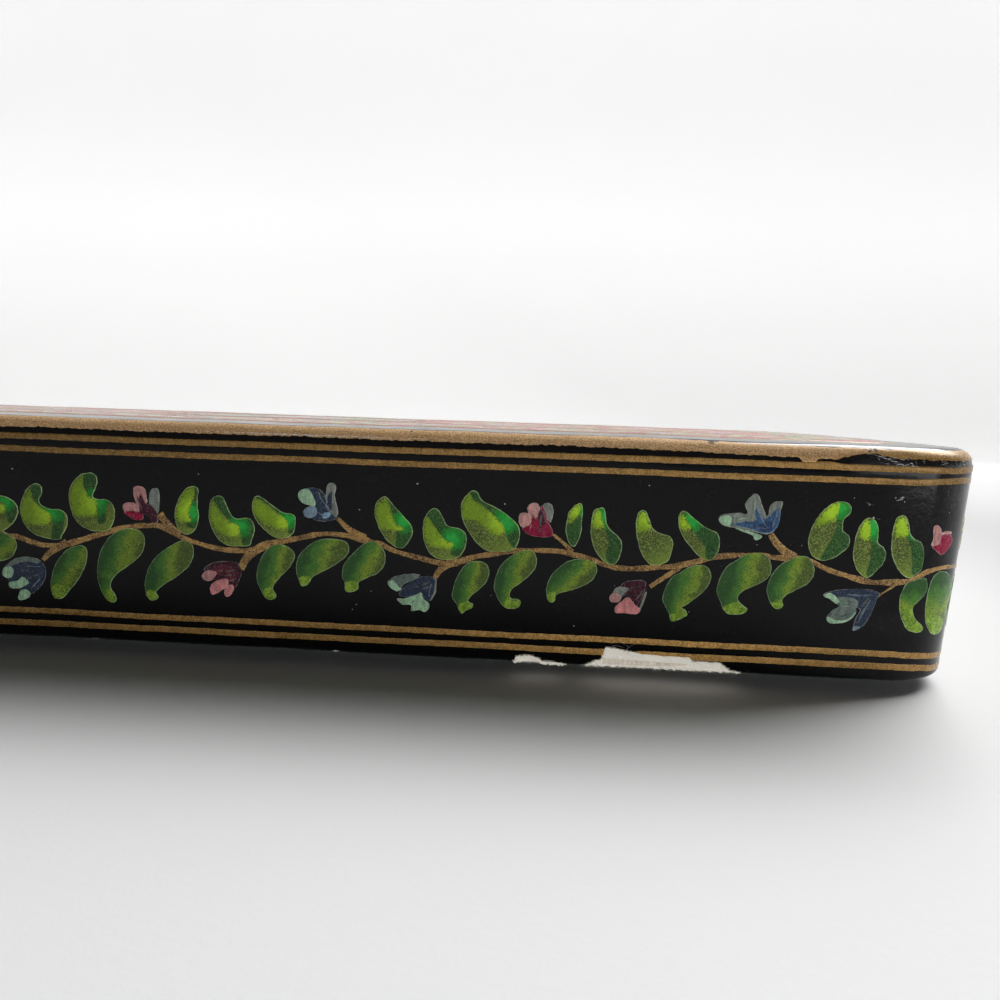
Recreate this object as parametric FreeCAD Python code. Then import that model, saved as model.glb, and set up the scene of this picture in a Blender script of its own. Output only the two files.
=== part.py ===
import FreeCAD, Part
import os
import math

os.makedirs("parts", exist_ok=True)

# Shallow oblong papier-mache box, black lacquered, with a deep lift-off lid.
# The lid is a full-depth cover: its skirt hides the tray, stops short of the
# table, and leaves a finger gap under its rim.
# Frame: millimetres, +Z up, origin at the middle of the face it stands on,
# +X along the length, -Y the front wall.

# ---- driving dimensions ------------------------------------------------------
LENGTH = 200.0            # outside length at the lid's top edge
WIDTH = 78.0              # outside width at the lid's top edge
CORNER_R = 13.0           # plan radius of the lid's corners at the top edge
RIM_Z = 2.0               # lid rim above the table
SKIRT_H = 29.7            # rim to top edge of the lid
TAPER_DEG = 3.2           # the lid's outer wall leans in towards its rim
DOME_RISE = 0.4           # crown of the lid's top above its edge
DOME_SHOULDER = 22.0      # width of the zone where the crown falls to the edge
TOP_EDGE_R = 2.4          # rounding between the lid's top and its wall
RIM_EDGE_R = 0.45          # rounding of the rim's outer arris

LID_COAT = 0.5            # chalk ground and lacquer on the lid
LID_WALL = 2.2            # paper core of the lid's wall at the rim
LID_LINING = 0.3          # lining paper
LIFT_GAP = 0.44           # sliding clearance between lid lining and tray
BASE_COAT = 0.3           # ground and lacquer on the tray
BASE_WALL = 2.2           # paper core of the tray's wall
BASE_LINING = 0.3         # lining paper of the tray's wall

FOOT_FELT = 1.0           # felt sheet under the tray
FOOT_FELT_INSET = 1.6     # felt edge inside the tray's outline
FLOOR_BOARD = 3.0         # tray floor board
FLOOR_LINING = 0.3        # lining paper of the tray's floor
TRAY_FOOT_R = 1.4         # rounding of the tray's lower arris
TRAY_TOP_Z = 27.95        # top of the tray's coated rim
CEILING_Z = 28.0          # underside of the lid's ceiling lining

# ---- derived -----------------------------------------------------------------
TOP_Z = RIM_Z + SKIRT_H
SLOPE = math.tan(math.radians(TAPER_DEG))
RIM_INSET = SKIRT_H * SLOPE                    # how far the rim stands in
LID_CORE_IN = RIM_INSET + LID_COAT + LID_WALL  # inner face of the lid's core
LID_IN = LID_CORE_IN + LID_LINING              # inner face of the lid's lining
BASE_OUT = LID_IN + LIFT_GAP                   # outer face of the tray's coat
BASE_CORE_OUT = BASE_OUT + BASE_COAT
BASE_CORE_IN = BASE_CORE_OUT + BASE_WALL
BASE_IN = BASE_CORE_IN + BASE_LINING
BOARD_Z0 = CEILING_Z + LID_LINING              # underside of the lid's top board
FLOOR_Z0 = FOOT_FELT + BASE_COAT               # underside of the floor board
FLOOR_Z1 = FLOOR_Z0 + FLOOR_BOARD
TRAY_CORE_TOP = TRAY_TOP_Z - BASE_COAT


def outline(inset, z):
    """Rounded oblong wire at height z, inset from the lid's top-edge outline."""
    hx, hy = LENGTH / 2 - inset, WIDTH / 2 - inset
    r = CORNER_R - inset
    k = r * math.sqrt(0.5)
    v = FreeCAD.Vector
    cx, cy = hx - r, hy - r
    edges = [
        Part.makeLine(v(-cx, -hy, z), v(cx, -hy, z)),
        Part.Arc(v(cx, -hy, z), v(cx + k, -cy - k, z), v(hx, -cy, z)).toShape(),
        Part.makeLine(v(hx, -cy, z), v(hx, cy, z)),
        Part.Arc(v(hx, cy, z), v(cx + k, cy + k, z), v(cx, hy, z)).toShape(),
        Part.makeLine(v(cx, hy, z), v(-cx, hy, z)),
        Part.Arc(v(-cx, hy, z), v(-cx - k, cy + k, z), v(-hx, cy, z)).toShape(),
        Part.makeLine(v(-hx, cy, z), v(-hx, -cy, z)),
        Part.Arc(v(-hx, -cy, z), v(-cx - k, -cy - k, z), v(-cx, -hy, z)).toShape(),
    ]
    return Part.Wire(edges)


def prism(inset, z0, z1):
    return Part.Face(outline(inset, z0)).extrude(FreeCAD.Vector(0, 0, z1 - z0))


def tapered(extra, z0, z1):
    """Solid whose wall leans in towards the rim; extra is a further inset."""
    low = outline((TOP_Z - z0) * SLOPE + extra, z0)
    high = outline((TOP_Z - z1) * SLOPE + extra, z1)
    return Part.makeLoft([low, high], True, True)


def crown(offset):
    """Closed body under the lid's crowned top, offset downwards from it."""
    hx, hy = LENGTH / 2, WIDTH / 2

    def rise(d):
        t = min(max(d / DOME_SHOULDER, -0.3), 1.0)
        return 1.0 - (1.0 - t) ** 2

    def steps(h):
        inner = [h - DOME_SHOULDER * k / 6.0 for k in range(0, 7)]
        flat = [(h - DOME_SHOULDER) * k / 4.0 for k in range(1, 4)] if h > DOME_SHOULDER + 4 else []
        half = sorted(set([round(a, 3) for a in inner + flat if a > 0.5] + [h + 6.0]))
        return [-a for a in reversed(half)] + [0.0] + half

    rows = []
    for x in steps(hx):
        row = []
        for y in steps(hy):
            z = TOP_Z - offset + DOME_RISE * rise(hx - abs(x)) * rise(hy - abs(y))
            if abs(x) > hx or abs(y) > hy:
                z = TOP_Z - offset - 0.25
            row.append(FreeCAD.Vector(x, y, z))
        rows.append(row)
    surface = Part.BSplineSurface()
    surface.interpolate(rows)
    return surface.toShape().extrude(FreeCAD.Vector(0, 0, -60.0))


def level_edges(solid, z_low, z_high):
    """Edges of a solid whose whole span lies between two heights."""
    found = []
    for e in solid.Edges:
        b = e.BoundBox
        if b.ZMin >= z_low and b.ZMax <= z_high:
            found.append(e)
    return found


def lid_body(extra, z0, edge_r, rim_r):
    """Closed outer form of the lid down to z0, with rounded top edge."""
    body = tapered(extra, z0, TOP_Z + 2.0).common(crown(extra))
    body = body.Solids[0]
    top = level_edges(body, TOP_Z - extra - 0.6, TOP_Z + DOME_RISE + 1)
    body = body.makeFillet(edge_r, top)
    if rim_r > 0:
        rim = level_edges(body, z0 - 0.01, z0 + 0.01)
        body = body.makeFillet(rim_r, rim)
    return body


def export(shape, name):
    shape.exportStep("parts/%s.step" % name)
    print("%-22s solids %d valid %s volume %.1f" % (name, len(shape.Solids), shape.isValid(), shape.Volume))


# ---- lid ---------------------------------------------------------------------
lid_outer = lid_body(0.0, RIM_Z, TOP_EDGE_R, RIM_EDGE_R)
lid_core = lid_body(LID_COAT, RIM_Z + LID_COAT, TOP_EDGE_R - LID_COAT, 0.2)

# top board: everything of the core above the wall strip
slab = Part.makeBox(LENGTH + 20, WIDTH + 20, 20, FreeCAD.Vector(-LENGTH / 2 - 10, -WIDTH / 2 - 10, BOARD_Z0))
lid_top_board = lid_core.common(slab)

# wall strip: a closed band bent round the form, straight inside, leaning outside
inside = prism(LID_CORE_IN, RIM_Z - 1, BOARD_Z0)
lid_wall = lid_core.cut(slab).cut(inside)

# ground and lacquer skin over board and wall, turned under the rim
coat_inside = prism(LID_CORE_IN, RIM_Z - 1, BOARD_Z0 - 0.2)
lid_coat = lid_outer.cut(lid_core).cut(coat_inside)

# knocks along the front rim where the skin has come away from the paper
def knock(points, depth):
    """Prism through the skin; points are (x, height above the rim)."""
    y = -WIDTH / 2 - 1.0
    poly = [FreeCAD.Vector(x, y, RIM_Z + h) for x, h in points]
    poly.append(poly[0])
    face = Part.Face(Part.makePolygon(poly))
    return face.extrude(FreeCAD.Vector(0, 1.0 + RIM_INSET + depth, 0))


LARGE_KNOCK = [(49.8, -1.0), (50.2, 0.4), (51.2, 1.0), (51.8, 2.1), (54.0, 2.2), (57.2, 1.9),
               (61.4, 1.6), (64.2, 1.3), (66.4, 0.8), (68.4, 0.2), (68.8, -1.0)]
SMALL_KNOCK = [(40.7, -1.0), (41.0, 0.6), (42.0, 0.9), (43.6, 0.8), (45.4, 0.4), (47.0, 0.15), (47.3, -1.0)]
for spots in (LARGE_KNOCK, SMALL_KNOCK):
    tool = knock(spots, LID_COAT + 0.05)
    lid_coat = lid_coat.cut(tool.cut(lid_core))

lid_ceiling_lining = prism(LID_CORE_IN + 0.1, CEILING_Z, BOARD_Z0)
lid_wall_lining = prism(LID_CORE_IN, RIM_Z + 1.4, CEILING_Z - 0.1).cut(prism(LID_IN, RIM_Z, TOP_Z))

# ---- tray --------------------------------------------------------------------
foot_felt = prism(BASE_CORE_OUT + FOOT_FELT_INSET, 0.0, FOOT_FELT)

# paper core: floor board with a rounded lower arris, and the wall band on it
floor_board = prism(BASE_CORE_OUT, FLOOR_Z0, FLOOR_Z1)
floor_board = floor_board.makeFillet(TRAY_FOOT_R - BASE_COAT, level_edges(floor_board, FLOOR_Z0 - 0.01, FLOOR_Z0 + 0.01))
tray_wall = prism(BASE_CORE_OUT, FLOOR_Z1, TRAY_CORE_TOP).cut(prism(BASE_CORE_IN, FLOOR_Z1 - 1, TOP_Z))

# ground and lacquer over the underside, the outside and the rim
tray_outer = prism(BASE_OUT, FOOT_FELT, TRAY_TOP_Z)
tray_outer = tray_outer.makeFillet(0.7, level_edges(tray_outer, TRAY_TOP_Z - 0.01, TRAY_TOP_Z + 0.01))
tray_outer = tray_outer.makeFillet(TRAY_FOOT_R, level_edges(tray_outer, FOOT_FELT - 0.01, FOOT_FELT + 0.01))
tray_coat = tray_outer.cut(floor_board).cut(prism(BASE_CORE_OUT, FLOOR_Z1, TRAY_CORE_TOP)).cut(prism(BASE_CORE_IN, FLOOR_Z1, TOP_Z))

floor_lining = prism(BASE_CORE_IN + 0.05, FLOOR_Z1, FLOOR_Z1 + FLOOR_LINING)
tray_wall_lining = prism(BASE_CORE_IN, FLOOR_Z1 + FLOOR_LINING, TRAY_TOP_Z - 0.1).cut(prism(BASE_IN, FLOOR_Z1, TOP_Z))

for name, shape in [
    ("lid_top_board", lid_top_board),
    ("lid_wall", lid_wall),
    ("lid_coat", lid_coat),
    ("lid_ceiling_lining", lid_ceiling_lining),
    ("lid_wall_lining", lid_wall_lining),
    ("tray_floor_board", floor_board),
    ("tray_wall", tray_wall),
    ("tray_coat", tray_coat),
    ("tray_floor_lining", floor_lining),
    ("tray_wall_lining", tray_wall_lining),
    ("tray_foot_felt", foot_felt),
]:
    export(shape, name)
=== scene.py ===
import math
import bpy
import numpy as np
from mathutils import Matrix, Vector
from mathutils.geometry import delaunay_2d_cdt


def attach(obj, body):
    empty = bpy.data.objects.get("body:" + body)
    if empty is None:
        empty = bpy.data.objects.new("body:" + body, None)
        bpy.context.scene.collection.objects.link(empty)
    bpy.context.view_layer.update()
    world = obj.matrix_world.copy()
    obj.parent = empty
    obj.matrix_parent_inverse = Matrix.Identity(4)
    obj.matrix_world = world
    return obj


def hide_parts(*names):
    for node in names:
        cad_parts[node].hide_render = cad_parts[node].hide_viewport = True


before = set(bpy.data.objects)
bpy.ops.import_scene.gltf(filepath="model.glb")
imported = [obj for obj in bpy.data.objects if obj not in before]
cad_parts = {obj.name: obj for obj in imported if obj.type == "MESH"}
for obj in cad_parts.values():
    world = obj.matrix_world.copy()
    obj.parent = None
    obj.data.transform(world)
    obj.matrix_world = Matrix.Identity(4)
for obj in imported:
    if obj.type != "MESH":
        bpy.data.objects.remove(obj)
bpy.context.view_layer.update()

# Lacquered oblong box with a deep lift-off lid. Lengths below are millimetres.
# Wall coordinates: s runs round the top outline (front wall s = X), t is the
# height above the lid's rim and carries on over the edge on to the top.
LENGTH, WIDTH, RC = 200.0, 78.0, 13.0
RIM, SKIRT, TOPZ = 2.0, 29.7, 31.7
LEAN = math.radians(3.2)
SLOPE = math.tan(LEAN)
RISE, SHOULDER = 0.4, 22.0
ARRIS = 0.45
SX, SY = LENGTH / 2 - RC, WIDTH / 2 - RC
QA = math.pi / 2 * RC
HALF = 2 * SX + 2 * SY + 2 * QA
PER = 2 * HALF
COAT = 0.42


def lin(r, g, b):
    """Linear colour of an 8-bit sRGB triple."""
    out = []
    for c in (r, g, b):
        c = c / 255.0
        out.append(c / 12.92 if c <= 0.04045 else ((c + 0.055) / 1.055) ** 2.4)
    return np.array(out)


LIT = 0.46      # share of full light that reaches the front wall


def paint(r, g, b, k=LIT):
    """Pigment whose lit look on the front wall is the given sRGB colour."""
    c = np.clip((lin(r, g, b) - 0.008) / k, 0.001, 0.9)
    return (float(c[0]), float(c[1]), float(c[2]), 1.0)


# ---- surface of the lid -------------------------------------------------------
def base(s):
    u = np.mod(np.asarray(s, float) + SX, PER)
    flip = u >= HALF
    u = np.where(flip, u - HALF, u)
    a0, a1, a2 = 2 * SX, 2 * SX + QA, 2 * SX + QA + 2 * SY
    th1 = np.clip((u - a0) / RC, 0, math.pi / 2)
    th2 = np.clip((u - a2) / RC, 0, math.pi / 2)
    ang = -math.pi / 2 + th1 + th2
    nx, ny = np.cos(ang), np.sin(ang)
    cx = np.where(u < a0, u - SX, SX)
    cy = np.where(u < a1, -SY, np.where(u < a2, -SY + (u - a1), SY))
    x, y = cx + RC * nx, cy + RC * ny
    sg = np.where(flip, -1.0, 1.0)
    return x * sg, y * sg, nx * sg, ny * sg


def dome(d):
    q = 1 - np.minimum(d, SHOULDER) / SHOULDER
    return TOPZ + RISE * (1 - q * q)


def profile():
    """Tables of inset, height and normal against t, from under the rim to the top."""
    t, i, z, nh, nz = [], [], [], [], []

    def put(*row):
        for c, v in zip((t, i, z, nh, nz), row):
            c.append(v)
    r = ARRIS
    zc = RIM + r
    ic = (TOPZ - zc) * SLOPE + r / math.cos(LEAN)
    arc = r * (math.pi / 2 - LEAN)
    t_low = r - r * math.sin(LEAN)
    put(t_low - arc - (4.36 - ic), 4.36, RIM, 0.0, -1.0)
    for k in range(9):
        a = -math.pi / 2 + (math.pi / 2 - LEAN) * k / 8.0
        put(t_low - arc * (1 - k / 8.0), ic - r * math.cos(a), zc + r * math.sin(a), math.cos(a), math.sin(a))
    R = 2.4
    lo, hi = 1.0, 4.0
    for _ in range(60):
        m = (lo + hi) / 2
        k = 2 * RISE / SHOULDER * (1 - m / SHOULDER)
        w = math.sqrt(1 + k * k)
        ci, cz = m + R * k / w, float(dome(m)) - R / w
        dist = ci * math.cos(LEAN) + (cz - TOPZ) * math.sin(LEAN)
        if dist < R:
            lo = m
        else:
            hi = m
    a1 = math.atan2(k, 1.0)
    t_up = cz - R * math.sin(LEAN) - RIM
    for q in np.linspace(t_low + 0.4, t_up - 0.3, 40):
        put(q, (SKIRT - q) * SLOPE, RIM + q, math.cos(LEAN), -math.sin(LEAN))
    span = math.pi / 2 - a1 + LEAN
    for q in np.linspace(0, 1, 15):
        a = -LEAN + span * q
        put(t_up + R * span * q, ci - R * math.cos(a), cz + R * math.sin(a), math.cos(a), math.sin(a))
    t_top, i_top = t_up + R * span, i[-1]
    for q in np.linspace(0.3, 12.6 - i_top, 26):
        d = i_top + q
        k = 2 * RISE / SHOULDER * (1 - d / SHOULDER)
        w = math.sqrt(1 + k * k)
        put(t_top + q, d, float(dome(d)), k / w, 1 / w)
    return [np.array(c) for c in (t, i, z, nh, nz)] + [t_top - i_top]


PT, PI_, PZ, PNH, PNZ, T_OF_INSET = profile()
T_RIM = float(PT[0])


def ripple(x, y, z):
    """Slow unevenness of a form built up by hand, within a tenth of a millimetre."""
    w = 0.034 * np.sin(0.081 * x + 0.9) * np.cos(0.12 * y + 0.4)
    w += 0.022 * np.sin(0.233 * x + 0.17 * z + 2.1) + 0.014 * np.sin(0.41 * x - 0.23 * z + 0.3 * y)
    w += 0.016 * np.sin(0.37 * y + 0.21 * z + 1.2) + 0.006 * np.sin(0.83 * x + 0.61 * y + 0.5 * z)
    return w


def wall(s, t, off=0.0):
    """Points on the lid's skin at s, t, raised by off."""
    s, t = np.broadcast_arrays(np.asarray(s, float), np.asarray(t, float))
    x, y, nx, ny = base(s)
    i, z = np.interp(t, PT, PI_), np.interp(t, PT, PZ)
    nh, nz = np.interp(t, PT, PNH), np.interp(t, PT, PNZ)
    w = np.sqrt(nh * nh + nz * nz)
    nh, nz = nh / w, nz / w
    px, py = x - nx * i, y - ny * i
    o = off + ripple(px, py, z) * np.clip((t - T_RIM) / 2.0, 0, 1)
    return np.stack([px + nx * nh * o, py + ny * nh * o, z + nz * o], -1)


def edge_inset(x, y):
    """Distance inwards from the top outline of a point on the top."""
    qx, qy = np.abs(x) - SX, np.abs(y) - SY
    out = np.hypot(np.maximum(qx, 0), np.maximum(qy, 0)) + np.minimum(np.maximum(qx, qy), 0)
    return RC - out


def top_z(x, y):
    hx, hy = LENGTH / 2 - np.abs(x), WIDTH / 2 - np.abs(y)
    d = np.maximum(edge_inset(x, y), 0)
    a = dome(d)
    ra = 1 - (1 - np.minimum(hx, SHOULDER) / SHOULDER) ** 2
    rb = 1 - (1 - np.minimum(hy, SHOULDER) / SHOULDER) ** 2
    b = TOPZ + RISE * np.clip(ra, 0, 1) * np.clip(rb, 0, 1)
    k = np.clip((d - 8.0) / 8.0, 0, 1)
    k = k * k * (3 - 2 * k)
    return a * (1 - k) + b * k


def top(x, y, off=0.0):
    x, y = np.broadcast_arrays(np.asarray(x, float), np.asarray(y, float))
    z = top_z(x, y)
    return np.stack([x, y, z + off + ripple(x, y, z)], -1)


# ---- mesh helpers -------------------------------------------------------------
PIECES = {}


def make(name, verts, faces, mat, attrs=None, smooth=True, slot="black_lacquer", body="lid"):
    """Mesh object from millimetre points; faces is a list of index arrays."""
    me = bpy.data.meshes.new(name)
    v = np.asarray(verts, float).reshape(-1, 3) * 0.001
    me.vertices.add(len(v))
    me.vertices.foreach_set("co", v.astype(np.float32).ravel())
    loops = np.concatenate([np.asarray(f, np.int32).ravel() for f in faces if len(f)])
    sizes = np.concatenate([np.full(len(f), np.asarray(f).shape[1], np.int32) for f in faces if len(f)])
    starts = np.concatenate([[0], np.cumsum(sizes)[:-1]]).astype(np.int32)
    me.loops.add(len(loops))
    me.loops.foreach_set("vertex_index", loops)
    me.polygons.add(len(sizes))
    me.polygons.foreach_set("loop_start", starts)
    me.polygons.foreach_set("loop_total", sizes)
    me.polygons.foreach_set("use_smooth", np.full(len(sizes), smooth))
    me.update(calc_edges=True)
    for key, val in (attrs or {}).items():
        val = np.asarray(val, np.float32)
        if val.ndim == 2:
            a = me.color_attributes.new(key, "FLOAT_COLOR", "POINT")
            a.data.foreach_set("color", np.concatenate([val[:, :3], np.ones((len(val), 1), np.float32)], 1).ravel())
        else:
            a = me.attributes.new(key, "FLOAT", "POINT")
            a.data.foreach_set("value", val)
    me.validate()
    ob = bpy.data.objects.new(name, me)
    bpy.context.scene.collection.objects.link(ob)
    me.materials.append(mat)
    if body:
        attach(ob, body)
    PIECES[name] = ob
    return ob


class Heap:
    """Collects patches of one paint layer."""

    def __init__(self):
        self.v, self.f, self.a, self.n = [], [], {}, 0

    def add(self, pts, faces, **attrs):
        pts = np.asarray(pts, float)
        self.v.append(pts)
        self.f.append(np.asarray(faces, np.int64) + self.n)
        for k, val in attrs.items():
            val = np.asarray(val, float)
            if val.ndim == 0:
                val = np.full(len(pts), float(val))
            if val.ndim == 1 and len(val) != len(pts):
                val = np.tile(val, (len(pts), 1))
            self.a.setdefault(k, []).append(val)
        self.n += len(pts)

    def make(self, name, mat, **kw):
        tri = [f for f in self.f if f.shape[1] == 3]
        quad = [f for f in self.f if f.shape[1] == 4]
        faces = ([np.concatenate(tri)] if tri else []) + ([np.concatenate(quad)] if quad else [])
        return make(name, np.concatenate(self.v), faces, mat, {k: np.concatenate(v) for k, v in self.a.items()}, **kw)


def grid_faces(rows, cols, wrap=False):
    r = np.arange(rows - 1)[:, None]
    c = np.arange(cols if wrap else cols - 1)[None, :]
    c2 = (c + 1) % cols
    return np.stack([r * cols + c, r * cols + c2, (r + 1) * cols + c2, (r + 1) * cols + c], -1).reshape(-1, 4)


def sdist(P, poly):
    """Signed distance to a closed polygon, positive inside."""
    a, b = poly, np.roll(poly, -1, 0)
    d = b - a
    dd = np.maximum((d * d).sum(-1), 1e-12)
    out = np.empty(len(P))
    for k in range(0, len(P), 4000):
        q = P[k:k + 4000]
        v = q[:, None, :] - a[None]
        h = np.clip((v * d).sum(-1) / dd, 0, 1)
        dist = np.sqrt(((v - h[..., None] * d) ** 2).sum(-1)).min(1)
        yy, xx = q[:, 1][:, None], q[:, 0][:, None]
        cross = (a[:, 1] > yy) != (b[:, 1] > yy)
        dy = np.where(np.abs(d[:, 1]) < 1e-9, 1e-9, d[:, 1])
        xi = a[:, 0] + (yy - a[:, 1]) * d[:, 0] / dy
        inside = (cross & (xx < xi)).sum(1) % 2 == 1
        out[k:k + 4000] = np.where(inside, dist, -dist)
    return out


def smooth_loop(pts, step, soft=0.5):
    """Closed Catmull-Rom curve through the points, resampled at step."""
    p = np.asarray(pts, float)
    p0, p1, p2, p3 = np.roll(p, 1, 0), p, np.roll(p, -1, 0), np.roll(p, -2, 0)
    u = np.linspace(0, 1, 12, endpoint=False)[None, :, None]
    a = soft
    m1, m2 = a * (p2 - p0), a * (p3 - p1)
    c = ((2 * u ** 3 - 3 * u ** 2 + 1) * p1[:, None] + (u ** 3 - 2 * u ** 2 + u) * m1[:, None]
         + (-2 * u ** 3 + 3 * u ** 2) * p2[:, None] + (u ** 3 - u ** 2) * m2[:, None]).reshape(-1, 2)
    seg = np.sqrt(((np.roll(c, -1, 0) - c) ** 2).sum(1))
    L = np.concatenate([[0], np.cumsum(seg)])
    n = max(8, int(round(L[-1] / step)))
    q = np.linspace(0, L[-1], n, endpoint=False)
    cc = np.concatenate([c, c[:1]])
    out = np.stack([np.interp(q, L, cc[:, 0]), np.interp(q, L, cc[:, 1])], 1)
    area = 0.5 * np.sum(out[:, 0] * np.roll(out[:, 1], -1) - np.roll(out[:, 0], -1) * out[:, 1])
    return out if area > 0 else out[::-1].copy()


def smooth_line(pts, step):
    """Open smooth curve through the points, resampled at step."""
    p = np.asarray(pts, float)
    p = np.concatenate([[2 * p[0] - p[1]], p, [2 * p[-1] - p[-2]]])
    p0, p1, p2, p3 = p[:-3], p[1:-2], p[2:-1], p[3:]
    u = np.linspace(0, 1, 10, endpoint=False)[None, :, None]
    m1, m2 = 0.5 * (p2 - p0), 0.5 * (p3 - p1)
    c = ((2 * u ** 3 - 3 * u ** 2 + 1) * p1[:, None] + (u ** 3 - 2 * u ** 2 + u) * m1[:, None]
         + (-2 * u ** 3 + 3 * u ** 2) * p2[:, None] + (u ** 3 - u ** 2) * m2[:, None]).reshape(-1, p.shape[1])
    c = np.concatenate([c, p[-2:-1]])
    seg = np.sqrt(((c[1:, :2] - c[:-1, :2]) ** 2).sum(1))
    L = np.concatenate([[0], np.cumsum(seg)])
    n = max(3, int(round(L[-1] / step)) + 1)
    q = np.linspace(0, L[-1], n)
    return np.stack([np.interp(q, L, c[:, k]) for k in range(p.shape[1])], 1)


def wobble(L, rng, step, amp, short=0.5, long=2.5):
    """Smooth random track of the given length in mm, for the tremble of a brush."""
    n = len(L)
    out = np.zeros(n)
    for _ in range(7):
        lam = rng.uniform(short, long)
        out += np.sin(2 * math.pi * L / lam + rng.uniform(0, 6.3)) * rng.uniform(0.4, 1.0)
    return amp * out / 2.2


def patch(outline, step=0.28, ring=0.09, seed=1, tremble=0.02, smooth=True, edge=0.16):
    """Triangulated paint patch: local points, triangles and distance to its edge."""
    rng = np.random.default_rng(seed)
    o = smooth_loop(outline, edge) if smooth else np.asarray(outline, float)
    nxt, prv = np.roll(o, -1, 0), np.roll(o, 1, 0)
    tan = nxt - prv
    tan /= np.maximum(np.sqrt((tan ** 2).sum(1)), 1e-9)[:, None]
    inn = np.stack([-tan[:, 1], tan[:, 0]], 1)
    L = np.arange(len(o)) * edge
    if tremble:
        o = o + inn * wobble(L, rng, edge, tremble)[:, None]
    r1 = o + inn * ring
    r1 = r1[sdist(r1, o) > 0.72 * ring]
    lo, hi = o.min(0), o.max(0)
    gx = np.arange(lo[0], hi[0] + step, step)
    gy = np.arange(lo[1], hi[1] + step, step * 0.866)
    X, Y = np.meshgrid(gx, gy)
    X = X + (np.arange(len(gy)) % 2)[:, None] * step / 2
    P = np.stack([X.ravel(), Y.ravel()], 1)
    P = P + rng.uniform(-0.22, 0.22, P.shape) * step
    P = P[sdist(P, o) > ring + 0.5 * step]
    V = np.concatenate([o, r1, P])
    n = len(o)
    res = delaunay_2d_cdt([Vector(p) for p in V.tolist()], [(k, (k + 1) % n) for k in range(n)], [], 1, 1e-6)
    vo = np.array([tuple(p) for p in res[0]], float)
    fo = np.array([f for f in res[2] if len(f) == 3], np.int64)
    d = sdist(vo, o)
    return vo, fo, np.maximum(d, 0.0), o


def lift(d, thick, ring=0.09):
    """Height of a paint film by distance from its edge: sunk at the edge, with a slight ridge."""
    k = np.clip(d / ring, 0, 1)
    k = k * k * (3 - 2 * k)
    ridge = np.exp(-((d - ring * 1.5) / (ring * 0.9)) ** 2)
    return -0.012 + (thick + 0.012) * k + thick * 0.16 * ridge * k

# ---- studio levels ------------------------------------------------------------
WORLD_LOW, WORLD_HIGH, WORLD_BACK = 2.2, 0.025, 0.86
KEY, FILL, GLOW = 4.6, 0.066, 0.58

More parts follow.
